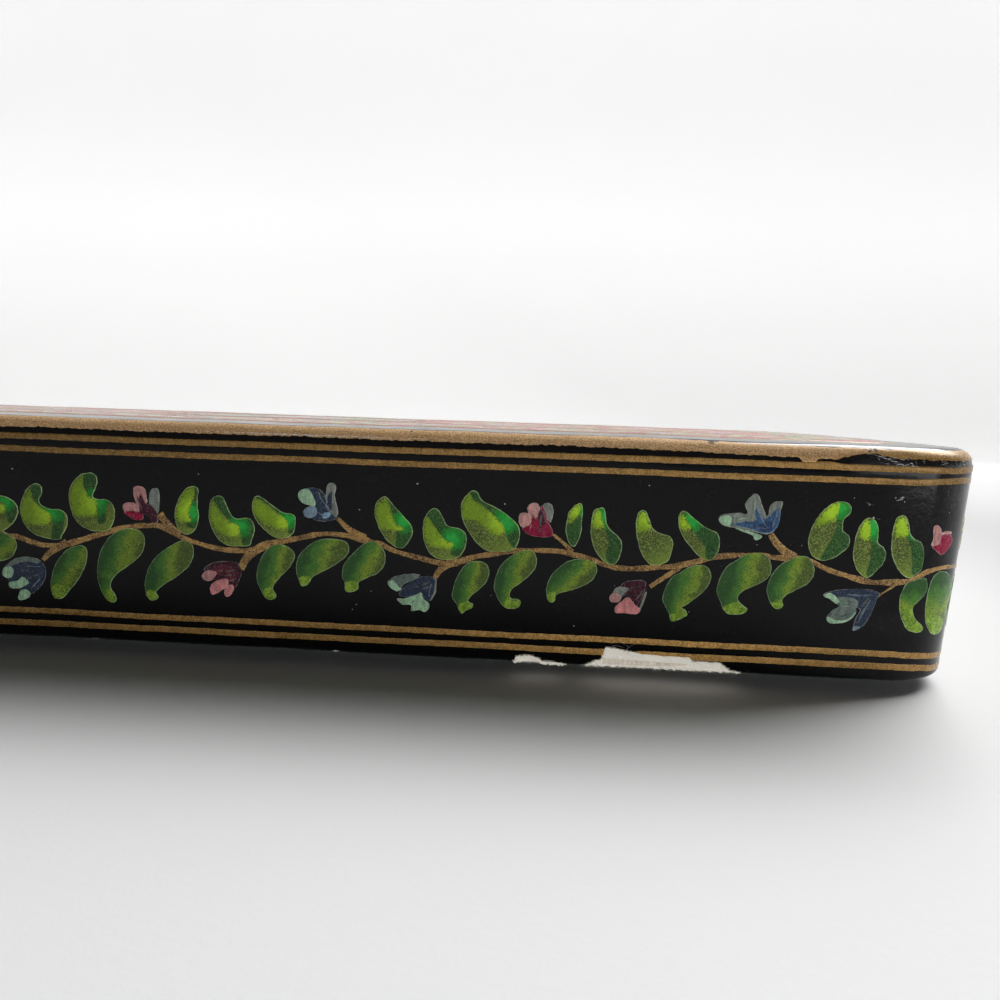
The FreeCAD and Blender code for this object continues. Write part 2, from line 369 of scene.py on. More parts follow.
# ---- drawn outlines of the painted vine, in wall coordinates (mm) --------------
# upper leaf: outline, light patch, green patch
# lower leaf: outline, dark and light point of its shading, bright tip
# flower: strokes in painting order; stem and stalks: centre lines
UPPER = [
 ([(-30.46,18.37),(-29.18,19.17),(-28.14,19.25),(-27.13,19.04),(-26.24,18.46),(-25.8,17.56),(-25.96,16.71),(-26.57,15.68),(-27.5,14.87),(-28.59,14.32),(-29.78,14.52),(-30.64,15.5),(-30.93,17.01)],
  [(-30.36,17.53),(-29.25,18.42),(-28.41,18.2),(-27.57,17.99),(-27.54,17.32),(-28.02,16.79),(-29.07,16.58),(-30.1,16.7)],
  [(-30.41,18.87),(-28.98,19.43),(-27.79,19.31),(-26.63,18.86),(-25.88,17.72),(-26.15,16.54),(-26.93,15.49),(-27.4,15.98),(-27.46,17.32),(-27.55,18.24),(-28.56,18.45)]),
 ([(-23.29,21.02),(-22.62,20.93),(-22.27,20.45),(-22.38,19.7),(-22.84,18.85),(-22.58,18.28),(-21.93,17.89),(-21.09,17.72),(-20.06,17.72),(-19.33,17.25),(-19.06,16.34),(-19.3,15.32),(-19.98,14.28),(-20.19,13.73),(-21.23,13.59),(-22.76,13.85),(-23.93,14.27),(-24.89,15.16),(-25.4,16.23),(-25.59,17.4),(-25.39,18.41),(-24.86,19.6),(-24.18,20.54)],
  [(-25.45,17.07),(-25.22,18.33),(-24.62,19.44),(-23.88,20.14),(-23.72,19.4),(-23.48,18.74),(-22.93,18.1),(-22.12,17.54),(-21.47,17.15),(-21.31,16.66),(-21.48,15.9),(-22.11,15.6),(-23.32,15.48),(-24.51,15.56),(-25.24,16.07)],
  [(-23.86,20.39),(-23.2,21.07),(-22.12,20.87),(-22.22,19.54),(-22.74,18.77),(-22.33,18.17),(-20.91,17.85),(-19.73,17.65),(-19.44,16.99),(-19.98,14.28),(-20.2,13.67),(-21.41,13.54),(-21.34,14.89),(-21.06,15.91),(-21.29,16.91),(-22.12,17.63),(-22.93,18.18),(-23.55,18.99)]),
 ([(-17.01,22.42),(-16.15,22.72),(-15.31,22.73),(-14.8,22.31),(-14.71,21.58),(-15.03,20.66),(-15.42,19.9),(-15.36,19.49),(-14.69,19.32),(-13.68,19.31),(-12.95,18.84),(-12.62,17.95),(-12.74,16.78),(-13.15,15.75),(-13.78,15.14),(-14.81,14.98),(-16,15.04),(-17.32,15.66),(-18.11,16.54),(-18.53,17.7),(-18.74,19.02),(-18.6,20.35),(-18.1,21.36)],
  [(-18.59,18.86),(-18.44,20.19),(-17.94,21.28),(-17.04,22.06),(-16.56,22.16),(-16.62,21.25),(-16.32,20.28),(-15.94,19.63),(-15.04,19.17),(-14.92,18.51),(-15.07,17.51),(-15.35,17.08),(-16.55,16.91),(-17.74,16.98),(-18.28,17.71)],
  [(-16.55,22.24),(-15.98,22.76),(-14.48,22.65),(-14.62,20.51),(-15.35,19.66),(-14.52,19.44),(-13.35,19.24),(-13.21,18.83),(-13.75,18.23),(-13.86,16.56),(-14.23,16.13),(-14.91,16.01),(-14.92,17.18),(-14.87,18.68),(-15.21,19.25),(-16.02,19.71),(-16.48,20.44)]),
 ([(-2.2,21.5),(-1.54,21.45),(-1.23,20.89),(-1.43,20.06),(-1.45,18.91),(-1.36,17.76),(-1.58,16.43),(-2.12,15.57),(-2.81,15.07),(-3.48,15.18),(-4.21,15.81),(-4.57,16.96),(-4.57,18.12),(-4.21,19.29),(-3.57,20.47),(-2.88,21.23)],
  [(-4.26,18.3),(-3.95,19.47),(-3.23,20.64),(-2.38,21.25),(-1.8,21.27),(-1.83,20.37),(-2.3,19.21),(-2.68,18.03),(-2.54,17.38),(-2.4,16.89),(-3.24,16.69),(-4.07,16.98),(-4.37,17.63)],
  [(-1.79,21.44),(-1.14,21.22),(-1.18,20.07),(-1.4,18.91),(-1.28,17.6),(-1.6,16.09),(-2.27,15.98),(-3.1,16.19),(-2.91,16.7),(-2.22,17.06),(-2.61,17.87),(-2.22,19.21),(-1.75,20.38)]),
 ([(0.73,20.23),(1.32,20.45),(1.92,20.28),(2.28,19.56),(2.66,18.59),(3.13,17.79),(3.7,17.51),(4.61,17.65),(5.44,17.52),(5.95,16.92),(5.97,15.93),(5.69,14.92),(5.34,14.07),(4.5,13.83),(3.33,13.78),(2.16,13.92),(1.34,14.39),(0.71,15.2),(0.24,16.17),(-0.05,17.32),(0.01,18.64),(0.29,19.64)],
  [(0.16,18.32),(0.44,19.16),(0.78,19.5),(1.1,19.02),(1.57,18.22),(2.28,17.42),(3.1,16.96),(3.84,16.66),(4.06,16.01),(3.88,15.34),(3.2,15.01),(2.37,15.1),(1.55,15.57),(0.74,16.03),(0.35,16.84)],
  [(0.64,20.07),(1.32,20.5),(2.06,20.37),(2.51,19.08),(3.21,17.79),(4.11,17.58),(5.6,17.56),(6.08,16.76),(5.69,14.75),(5.17,13.98),(4.42,14.03),(4.2,15.02),(4.06,16.01),(3.84,16.74),(2.94,17.04),(2.13,17.74),(1.49,18.54),(1.03,19.34)]),
 ([(6.1,20.45),(6.68,20.61),(7.49,20.18),(8.29,19.56),(9.1,19.03),(9.91,18.57),(10.89,18.48),(11.41,18.14),(11.44,17.16),(11.26,16.16),(10.67,15.47),(9.67,15.13),(8.85,15.14),(7.87,15.68),(6.9,16.55),(6.1,17.58),(5.75,18.72),(5.8,19.71)],
  [(5.9,19.22),(6.08,19.88),(6.58,20.15),(7.31,19.85),(8.12,19.15),(9.09,18.45),(9.98,17.92),(10.46,17.28),(10.36,16.62),(9.7,16.34),(8.87,16.3),(8.05,16.6),(7.24,17.14),(6.43,17.76),(6.04,18.4)],
  [(6.34,20.46),(6.84,20.65),(7.81,20.12),(9.1,19.19),(10.08,18.66),(11.06,18.54),(11.51,17.98),(11.44,16.83),(11.18,15.99),(10.51,15.8),(10.45,16.95),(10.22,17.68),(9.09,18.53),(8.12,19.31),(7.31,19.93),(6.58,20.1)]),
 ([(22.29,20.8),(22.77,21.14),(23.17,21.2),(23.74,20.69),(24.55,19.76),(25.52,18.74),(26.42,17.73),(26.7,17),(26.59,16.18),(26.11,15.34),(25.47,14.57),(24.66,14.58),(23.93,14.99),(23.27,15.54),(22.62,16.5),(22.13,17.46),(21.78,18.58),(21.73,19.56),(21.97,20.38)],
  [(21.97,19.24),(22.21,20.06),(22.77,20.65),(23.34,20.6),(23.74,19.8),(24.07,18.85),(24.32,17.88),(24.56,17.48),(25.53,17.28),(25.54,16.95),(24.57,16.83),(23.43,16.86),(22.62,16.99),(22.13,17.78)],
  [(23.34,20.76),(23.9,20.62),(25.68,18.67),(26.69,17.66),(26.75,16.68),(26.2,15.18),(25.39,14.48),(24.5,14.61),(24.57,15.93),(24.65,16.75),(25.62,16.96),(25.21,17.43),(24.56,17.73),(24.07,18.85),(23.74,20.13)]),
 ([(28.88,19.7),(29.44,19.96),(30,19.74),(30.5,18.96),(30.91,18.08),(31.48,17.67),(32.28,17.57),(33.09,17.28),(33.58,16.66),(33.64,15.68),(33.38,14.68),(32.84,13.84),(32.04,13.39),(31.08,13.26),(30.1,13.35),(29.13,13.83),(28.47,14.79),(28.05,16.08),(27.98,17.22),(28.1,18.37),(28.49,19.2)],
  [(28.15,16.9),(28.19,17.88),(28.58,18.79),(29.06,18.25),(29.72,17.3),(30.54,16.19),(31.19,15.73),(32,15.47),(31.77,14.94),(31.21,14.75),(30.24,14.87),(29.27,14.91),(28.62,15.45),(28.29,16.09)],
  [(28.57,18.96),(28.88,19.78),(29.52,20.01),(30.16,19.67),(30.75,18.32),(31.48,17.7),(32.76,17.51),(33.66,16.66),(33.69,15.35),(33.31,14.35),(32.76,13.83),(31.71,13.95),(31.77,14.86),(32,15.52),(31.03,15.81),(30.21,16.67),(29.39,17.77)]),
 ([(33.62,21.98),(34.32,22.46),(34.96,22.2),(35.22,21.57),(35.86,21.03),(36.99,20.52),(38.11,19.93),(39.25,19.09),(40.06,18.32),(40.41,17.45),(40.37,16.47),(40.08,15.56),(39.7,14.97),(38.75,14.73),(37.48,14.63),(36.35,14.69),(35.38,15.27),(34.47,16.21),(33.73,17.31),(33.14,18.42),(32.85,19.7),(32.88,20.83)],
  [(32.96,19.55),(33.09,20.84),(33.63,21.74),(34.02,22),(34.35,21.29),(35.08,20.84),(36.04,20.24),(37.02,19.4),(37.83,18.63),(38.41,17.84),(38.35,17.19),(37.73,16.84),(36.93,16.97),(36.27,17.59),(35.47,18.04),(34.82,18.5),(34.01,18.7),(33.38,18.76)],
  [(33.94,22.08),(34.56,22.5),(35.37,21.73),(36.02,21.04),(37.79,20.15),(39.41,19.02),(40.32,17.93),(40.44,16.64),(40.01,15.23),(39.52,15.45),(38.86,16.4),(38.5,17.52),(37.83,18.63),(36.86,19.55),(35.88,20.39),(34.91,21),(34.35,21.29)]),
 ([(47.18,21.11),(47.8,21.37),(48.12,21.07),(48.21,20.03),(48.15,18.91),(48.16,17.79),(47.87,16.64),(47.44,15.81),(46.8,15.95),(46.36,16.9),(46.12,18.02),(46.26,19.15),(46.38,19.96),(46.74,20.61)],
  [(46.42,19),(46.53,19.96),(46.97,20.78),(47.65,21.21),(47.9,20.82),(47.71,19.85),(47.27,19.35),(46.82,18.77)],
  [(47.82,20.97),(48.2,20.99),(48.32,18.6),(48.03,16.65),(47.44,15.73),(46.47,16.26),(46.07,18.02),(46.35,18.75),(46.98,18.78),(47.71,19.85)]),
 ([(49.63,20.57),(50.31,20.89),(50.86,20.78),(51.12,19.84),(51.28,18.89),(51.87,18.11),(52.69,17.42),(53.23,16.72),(53.33,15.76),(53.15,14.78),(52.73,13.86),(52.12,13.59),(51.32,13.88),(50.49,14.65),(49.8,15.76),(49.39,17.04),(49.28,18.32),(49.37,19.6)],
  [(49.42,18.49),(49.52,19.61),(49.87,20.42),(50.33,20.6),(50.53,19.81),(50.79,19.19),(50.98,18.55),(50.3,18.28),(49.67,18.26)],
  [(50.24,20.84),(50.94,20.87),(51.19,19.68),(51.29,18.73),(52.03,17.96),(53.02,17.04),(53.37,15.92),(53.16,14.62),(52.59,13.69),(51.79,13.9),(51.34,14.86),(51.65,16.49),(51.17,18.08),(50.88,19.03),(50.53,19.81)]),
 ([(55.07,20.48),(55.62,20.83),(56.15,20.53),(56.51,19.75),(56.88,18.81),(57.47,18.2),(58.26,17.91),(59.21,17.63),(59.65,16.85),(59.57,15.72),(59.33,14.74),(58.82,14.15),(57.91,13.86),(56.97,13.9),(56.22,14.6),(55.6,15.7),(55.21,16.97),(54.93,18.25),(54.9,19.52)],
  [(54.98,18.25),(54.98,19.53),(55.24,20.33),(55.76,20.59),(56.18,20.13),(56.54,19.27),(56.74,18.56),(56.07,18.22),(55.3,18.02)],
  [(55.6,20.75),(56.07,20.69),(56.25,20.14),(55.78,20.36)]),
 ([(60.1,20.38),(60.52,20.92),(61.15,20.74),(62.12,19.99),(63.1,19.24),(64.06,18.73),(64.94,18.37),(65.35,17.59),(65.4,16.47),(65.09,15.49),(64.52,14.82),(63.6,14.78),(62.61,15.54),(61.6,16.62),(60.75,17.7),(60.3,18.64),(60.09,19.59)],
  [(60.16,19.43),(60.26,20.23),(60.63,20.48),(61.06,19.79),(61.58,19.02),(61.69,18.62),(60.84,18.66),(60.37,18.72)],
  [(60.52,20.87),(61.31,20.67),(63.1,19.32),(64.54,18.59),(65.28,17.9),(65.47,16.47),(64.96,15.16),(64.22,14.81),(63.7,15.43),(63.63,16.39),(62.78,17.47),(61.75,18.86),(61.05,19.95)]),
 ([(78.3,22.41),(79.15,22.86),(80.04,22.87),(80.76,22.51),(80.97,21.9),(80.74,21.26),(80.27,20.77),(80.13,19.98),(80.29,19.2),(80.94,18.76),(81.2,17.98),(81.04,17.18),(80.43,16.52),(79.59,15.84),(78.58,15.4),(77.66,15.43),(76.85,15.88),(76.4,16.65),(76.15,17.6),(76.25,18.87),(76.71,20.31),(77.48,21.59)],
  [(76.88,20.16),(77.25,20.96),(78.04,22.01),(79.02,22.67),(79.47,22.61),(79.37,21.52),(79.08,20.72),(78.23,20.21),(77.37,19.7)],
  [(79.46,22.77),(80.35,22.8),(80.94,22.21),(80.95,21.43),(80.26,20.85),(80.13,19.98),(80.32,19.17),(81.14,18.61),(81.15,17.5),(80.16,16.19),(79.02,15.5),(77.81,15.44),(78.28,16.74),(79.02,18.36),(79.47,19.8),(79.26,20.42),(79.37,21.52)]),
 ([(82.28,20.23),(82.8,20.88),(83.38,21.03),(84.03,20.62),(84.39,19.85),(84.52,18.92),(84.56,17.97),(85.3,17.38),(85.69,16.6),(85.52,15.48),(84.88,14.49),(84.08,13.57),(83.49,13.47),(82.66,14.07),(82.01,15.16),(81.72,16.42),(81.72,17.85),(81.93,19.28)],
  [(82.27,18.98),(82.44,20.08),(82.96,20.81),(83.3,20.43),(83.5,19.34),(83.52,18.56),(82.95,18.22),(82.4,18.51)],
  [(83.33,20.83),(84.03,20.62),(84.46,19.7),(84.63,17.98),(85.66,16.92),(85.65,15.65),(84.75,14.33),(83.94,13.49),(83.57,14.11),(83.84,15.72),(83.81,17.31),(83.56,18.88)]),
 ([(86.49,21.2),(87.05,21.53),(87.63,21.24),(88.08,20.32),(88.39,19.23),(89.07,18.62),(90.03,18.15),(90.61,17.2),(90.8,15.93),(90.64,14.65),(89.64,13.86),(88.96,13.61),(87.86,14.15),(86.98,15.23),(86.38,16.48),(86.14,17.89),(86.12,19.3),(86.22,20.4)],
  [(86.35,19.31),(86.35,20.57),(86.93,21.29),(87.5,21.08),(87.8,20),(88.09,19.07),(87.25,18.72),(86.55,18.85)],
  [(87.72,20.62),(88.29,19.39),(90.02,18.23),(90.69,17.04),(90.77,14.97),(89.8,14.02),(89.21,14.34),(89.05,15.93),(88.51,17.82),(88.05,18.75)]),
]
LOWER = [
 ([(-29.65,14.02),(-28.58,14.4),(-27.57,14.11),(-26.75,13.64),(-26.39,12.8),(-26.65,11.77),(-27.33,10.88),(-28.42,10.4),(-29.46,10.43),(-30.24,11.43)],
  [(-29.73,13.16),(-27.27,11.57)],
  []),
 ([(-18.37,12.82),(-17.5,13.03),(-16.76,12.64),(-16.74,11.71),(-16.99,10.5),(-17.59,9.28),(-18.37,8.03),(-19.31,6.95),(-20.07,6.04),(-20.81,5.48),(-21.68,5.53),(-22.06,6.29),(-22.14,7.5),(-21.75,9.08),(-21.13,10.48),(-20.17,11.72),(-19.25,12.53)],
  [(-20.58,10.85),(-18.11,9.25)],
  [(-21.92,7),(-21.18,7.55),(-20.16,7.25),(-19.48,7.12),(-20.07,6.04),(-20.99,5.39),(-21.85,5.52)]),
 ([(-12.07,15.3),(-10.7,15.61),(-9.53,15.41),(-8.89,14.77),(-8.78,13.6),(-9.19,12.4),(-10.1,11.34),(-11.52,10.25),(-12.78,9.34),(-13.62,8.26),(-13.76,7.4),(-13.29,6.56),(-13.02,5.88),(-13.45,5.37),(-14.05,5.39),(-14.71,5.96),(-15.31,7.32),(-15.59,8.86),(-15.45,10.41),(-15,12.13),(-14.22,13.52),(-13.31,14.57)],
  [(-14.12,12.51),(-10.78,11.31)],
  [(-14.57,6.84),(-13.77,7.22),(-13.28,6.73),(-12.95,5.97),(-13.45,5.33),(-14.14,5.39)]),
 ([(-4.2,14.14),(-3.18,14.27),(-2.37,13.72),(-2.25,12.55),(-2.73,11.17),(-3.71,10.11),(-5.11,9.02),(-6.52,8.1),(-7.33,7.37),(-7.6,7.01),(-7.25,6.42),(-7.65,6.01),(-8.34,5.9),(-8.92,6.43),(-9.11,7.62),(-8.95,9.01),(-8.35,10.57),(-7.34,11.97),(-5.76,13.23)],
  [(-7.67,10.6),(-4.72,10.23)],
  [(-8.88,7.12),(-7.93,7.34),(-7.25,6.42),(-7.66,5.94),(-8.43,5.86)]),
 ([(7.99,14.02),(8.99,14.32),(10.15,14.2),(10.97,13.66),(11.28,12.84),(11.02,11.99),(10.25,10.94),(9.23,9.88),(8.54,9),(8.27,8.31),(8.68,7.56),(8.49,6.96),(7.82,6.75),(7.15,7.06),(6.67,7.89),(6.2,9.06),(6.1,10.24),(6.43,11.61),(6.97,12.81)],
  [(7.27,11.64),(9.59,11.08)],
  [(6.84,7.98),(7.86,8.46),(8.36,8.23),(8.71,7.48),(8.41,6.87),(7.65,6.71),(7.07,7.19)]),
 ([(12.96,14.25),(14.12,15.05),(15.6,15.39),(17.08,15.34),(18.14,14.98),(18.46,14.17),(18.05,13.15),(17.05,12.27),(15.73,11.37),(14.4,10.64),(13.56,10.09),(13.22,9.48),(12.71,8.95),(12.04,8.87),(11.72,9.67),(11.41,10.66),(11.43,11.84),(11.95,13.2)],
  [(12.77,12.91),(15.9,11.88)],
  [(11.64,9.83),(12.4,10.2),(13.23,10.24),(13.3,9.57),(12.79,8.96),(12.04,8.83)]),
 ([(18.87,13.52),(19.85,14.56),(21,15.27),(21.97,15.23),(22.79,14.53),(23.2,13.39),(23.04,12.22),(22.31,11.18),(21.32,10.63),(20.17,10.07),(19.68,9.71),(19.67,9.04),(19.18,8.51),(18.35,8.33),(17.85,8.61),(17.78,9.62),(17.45,10.45),(17.63,11.8),(18.21,12.83)],
  [(19.36,12.71),(21.65,11.65)],
  [(17.73,9.54),(18.69,9.83),(19.68,9.71),(19.71,8.96),(19.01,8.43),(18.02,8.32)]),
 ([(33.67,12.89),(34.62,13.29),(35.59,13.31),(36.4,12.85),(36.67,11.87),(36.38,10.69),(35.52,9.65),(34.57,8.77),(34.02,8.07),(34.19,7.83),(34.68,7.6),(34.53,7),(33.81,6.63),(33.24,6.21),(32.83,6.66),(32.48,7.49),(31.9,8.3),(31.96,9.31),(32.26,10.49),(32.88,11.85)],
  [(33.06,11.03),(35.33,10.81)],
  [(32.84,7.42),(33.78,7.86),(34.68,7.68),(34.58,6.95),(33.81,6.58),(33.24,6.17),(32.83,6.69)]),
 ([(39.56,14.31),(40.5,14.93),(41.6,15.14),(42.33,14.77),(42.69,13.8),(42.57,12.81),(41.89,11.79),(40.8,10.74),(39.71,9.86),(39.41,9.18),(39.59,8.6),(40.4,8.56),(40.86,8.16),(40.6,7.48),(39.8,7.15),(38.82,7.3),(38.16,7.94),(37.56,9.08),(37.29,10.07),(37.49,11.41),(38.01,12.76),(38.78,13.7)],
  [(38.43,12.12),(40.94,11.58)],
  [(38.79,8.23),(39.43,8.59),(40.4,8.59),(40.9,8.08),(40.47,7.39),(39.64,7.11),(38.82,7.3)]),
 ([(45.66,13.12),(46.58,13.82),(47.83,14.2),(48.94,14.17),(49.74,13.97),(50.32,13.34),(50.32,12.36),(49.71,11.34),(48.64,10.63),(47.39,10.07),(46.13,9.68),(45.35,9.31),(45.22,8.63),(44.83,8.25),(44.34,8.51),(44.06,9.41),(44.09,10.57),(44.52,11.75),(45.05,12.52)],
  [(46.01,12.48),(47.83,10.92)],
  [(44.3,9.5),(45.09,9.79),(45.38,9.22),(45.25,8.55),(44.79,8.21),(44.34,8.51)]),
 ([(60.78,13.02),(61.66,13.71),(62.72,14.09),(63.73,14.1),(64.39,13.6),(64.69,12.72),(64.53,11.74),(63.91,10.72),(62.89,9.69),(61.86,8.81),(61.34,8.45),(61.83,8.15),(62.08,7.5),(61.52,7.05),(60.45,6.55),(59.96,6.72),(59.75,7.54),(59.21,8.51),(58.81,9.32),(58.98,10.64),(59.45,11.82),(60.03,12.58)],
  [(60.11,11.36),(62.82,10.67)],
  [(59.89,7.35),(60.69,7.62),(61.44,8.04),(61.92,7.99),(62.12,7.41),(61.36,6.96),(60.37,6.48)]),
 ([(67.6,14.96),(68.47,15.65),(69.66,16.02),(70.74,15.99),(71.55,15.47),(71.99,14.36),(71.91,13.23),(71.22,12.39),(70.04,11.68),(69.01,11.14),(68.29,10.45),(68.27,9.79),(68.94,9.17),(69.5,8.7),(69.19,8.11),(68.2,7.85),(67.1,7.92),(66.42,8.55),(66.12,9.36),(65.67,10.16),(65.47,11.13),(65.72,12.45),(66.17,13.6),(66.73,14.36)],
  [(67.3,13.01),(69.96,12.65)],
  [(66.48,8.8),(67.6,9.35),(68.53,9.48),(69.53,8.71),(69.15,8.03),(67.73,7.79),(66.78,8.04)]),
 ([(74.02,15.26),(75.04,15.79),(76.1,15.84),(76.84,15.32),(77.27,14.29),(77.2,13.16),(76.46,12.16),(75.31,11.45),(74.22,10.75),(73.74,10.07),(73.88,9.42),(73.62,8.92),(72.93,8.88),(72.33,9.51),(71.85,10.46),(71.64,11.43),(71.88,12.74),(72.46,13.9),(73.15,14.74)],
  [(72.84,13.11),(75.21,12.42)],
  [(72.32,9.59),(72.99,9.87),(73.78,9.99),(73.96,9.39),(73.55,8.85),(72.77,8.9)]),
 ([(88.72,12.89),(89.72,13.38),(91.01,13.68),(91.81,13.34),(92.16,12.19),(91.7,11.24),(90.81,10.45),(90.23,9.81),(90.34,9.16),(91.03,8.16),(92.03,7.54),(92.51,6.93),(92.02,6.49),(90.71,6.55),(89.64,7.04),(88.81,8.18),(88.26,9.48),(88.07,10.77),(88.26,11.91)],
  [(89.72,12.25),(89.32,9)],
  [(88.72,9.33),(90.16,9.65),(90.76,8.49),(92.44,7.35),(92.14,6.45),(90.61,6.52),(89.4,7.37)]),
 ([(93.17,13.92),(94.38,14.33),(96.11,14.02),(98.16,12.79),(99.07,11.16),(98.39,9.58),(98.19,7.92),(97.38,6.36),(96.25,5.86),(94.45,6.09),(93.01,7.39),(92.38,9.08),(92.25,10.72),(92.39,12.18),(92.63,13.14)],
  [(94.52,12.85),(94.72,8.23)],
  [(92.77,8.4),(94.61,8.57),(97.36,7.38),(96.7,5.79),(94.46,6.05)]),
]
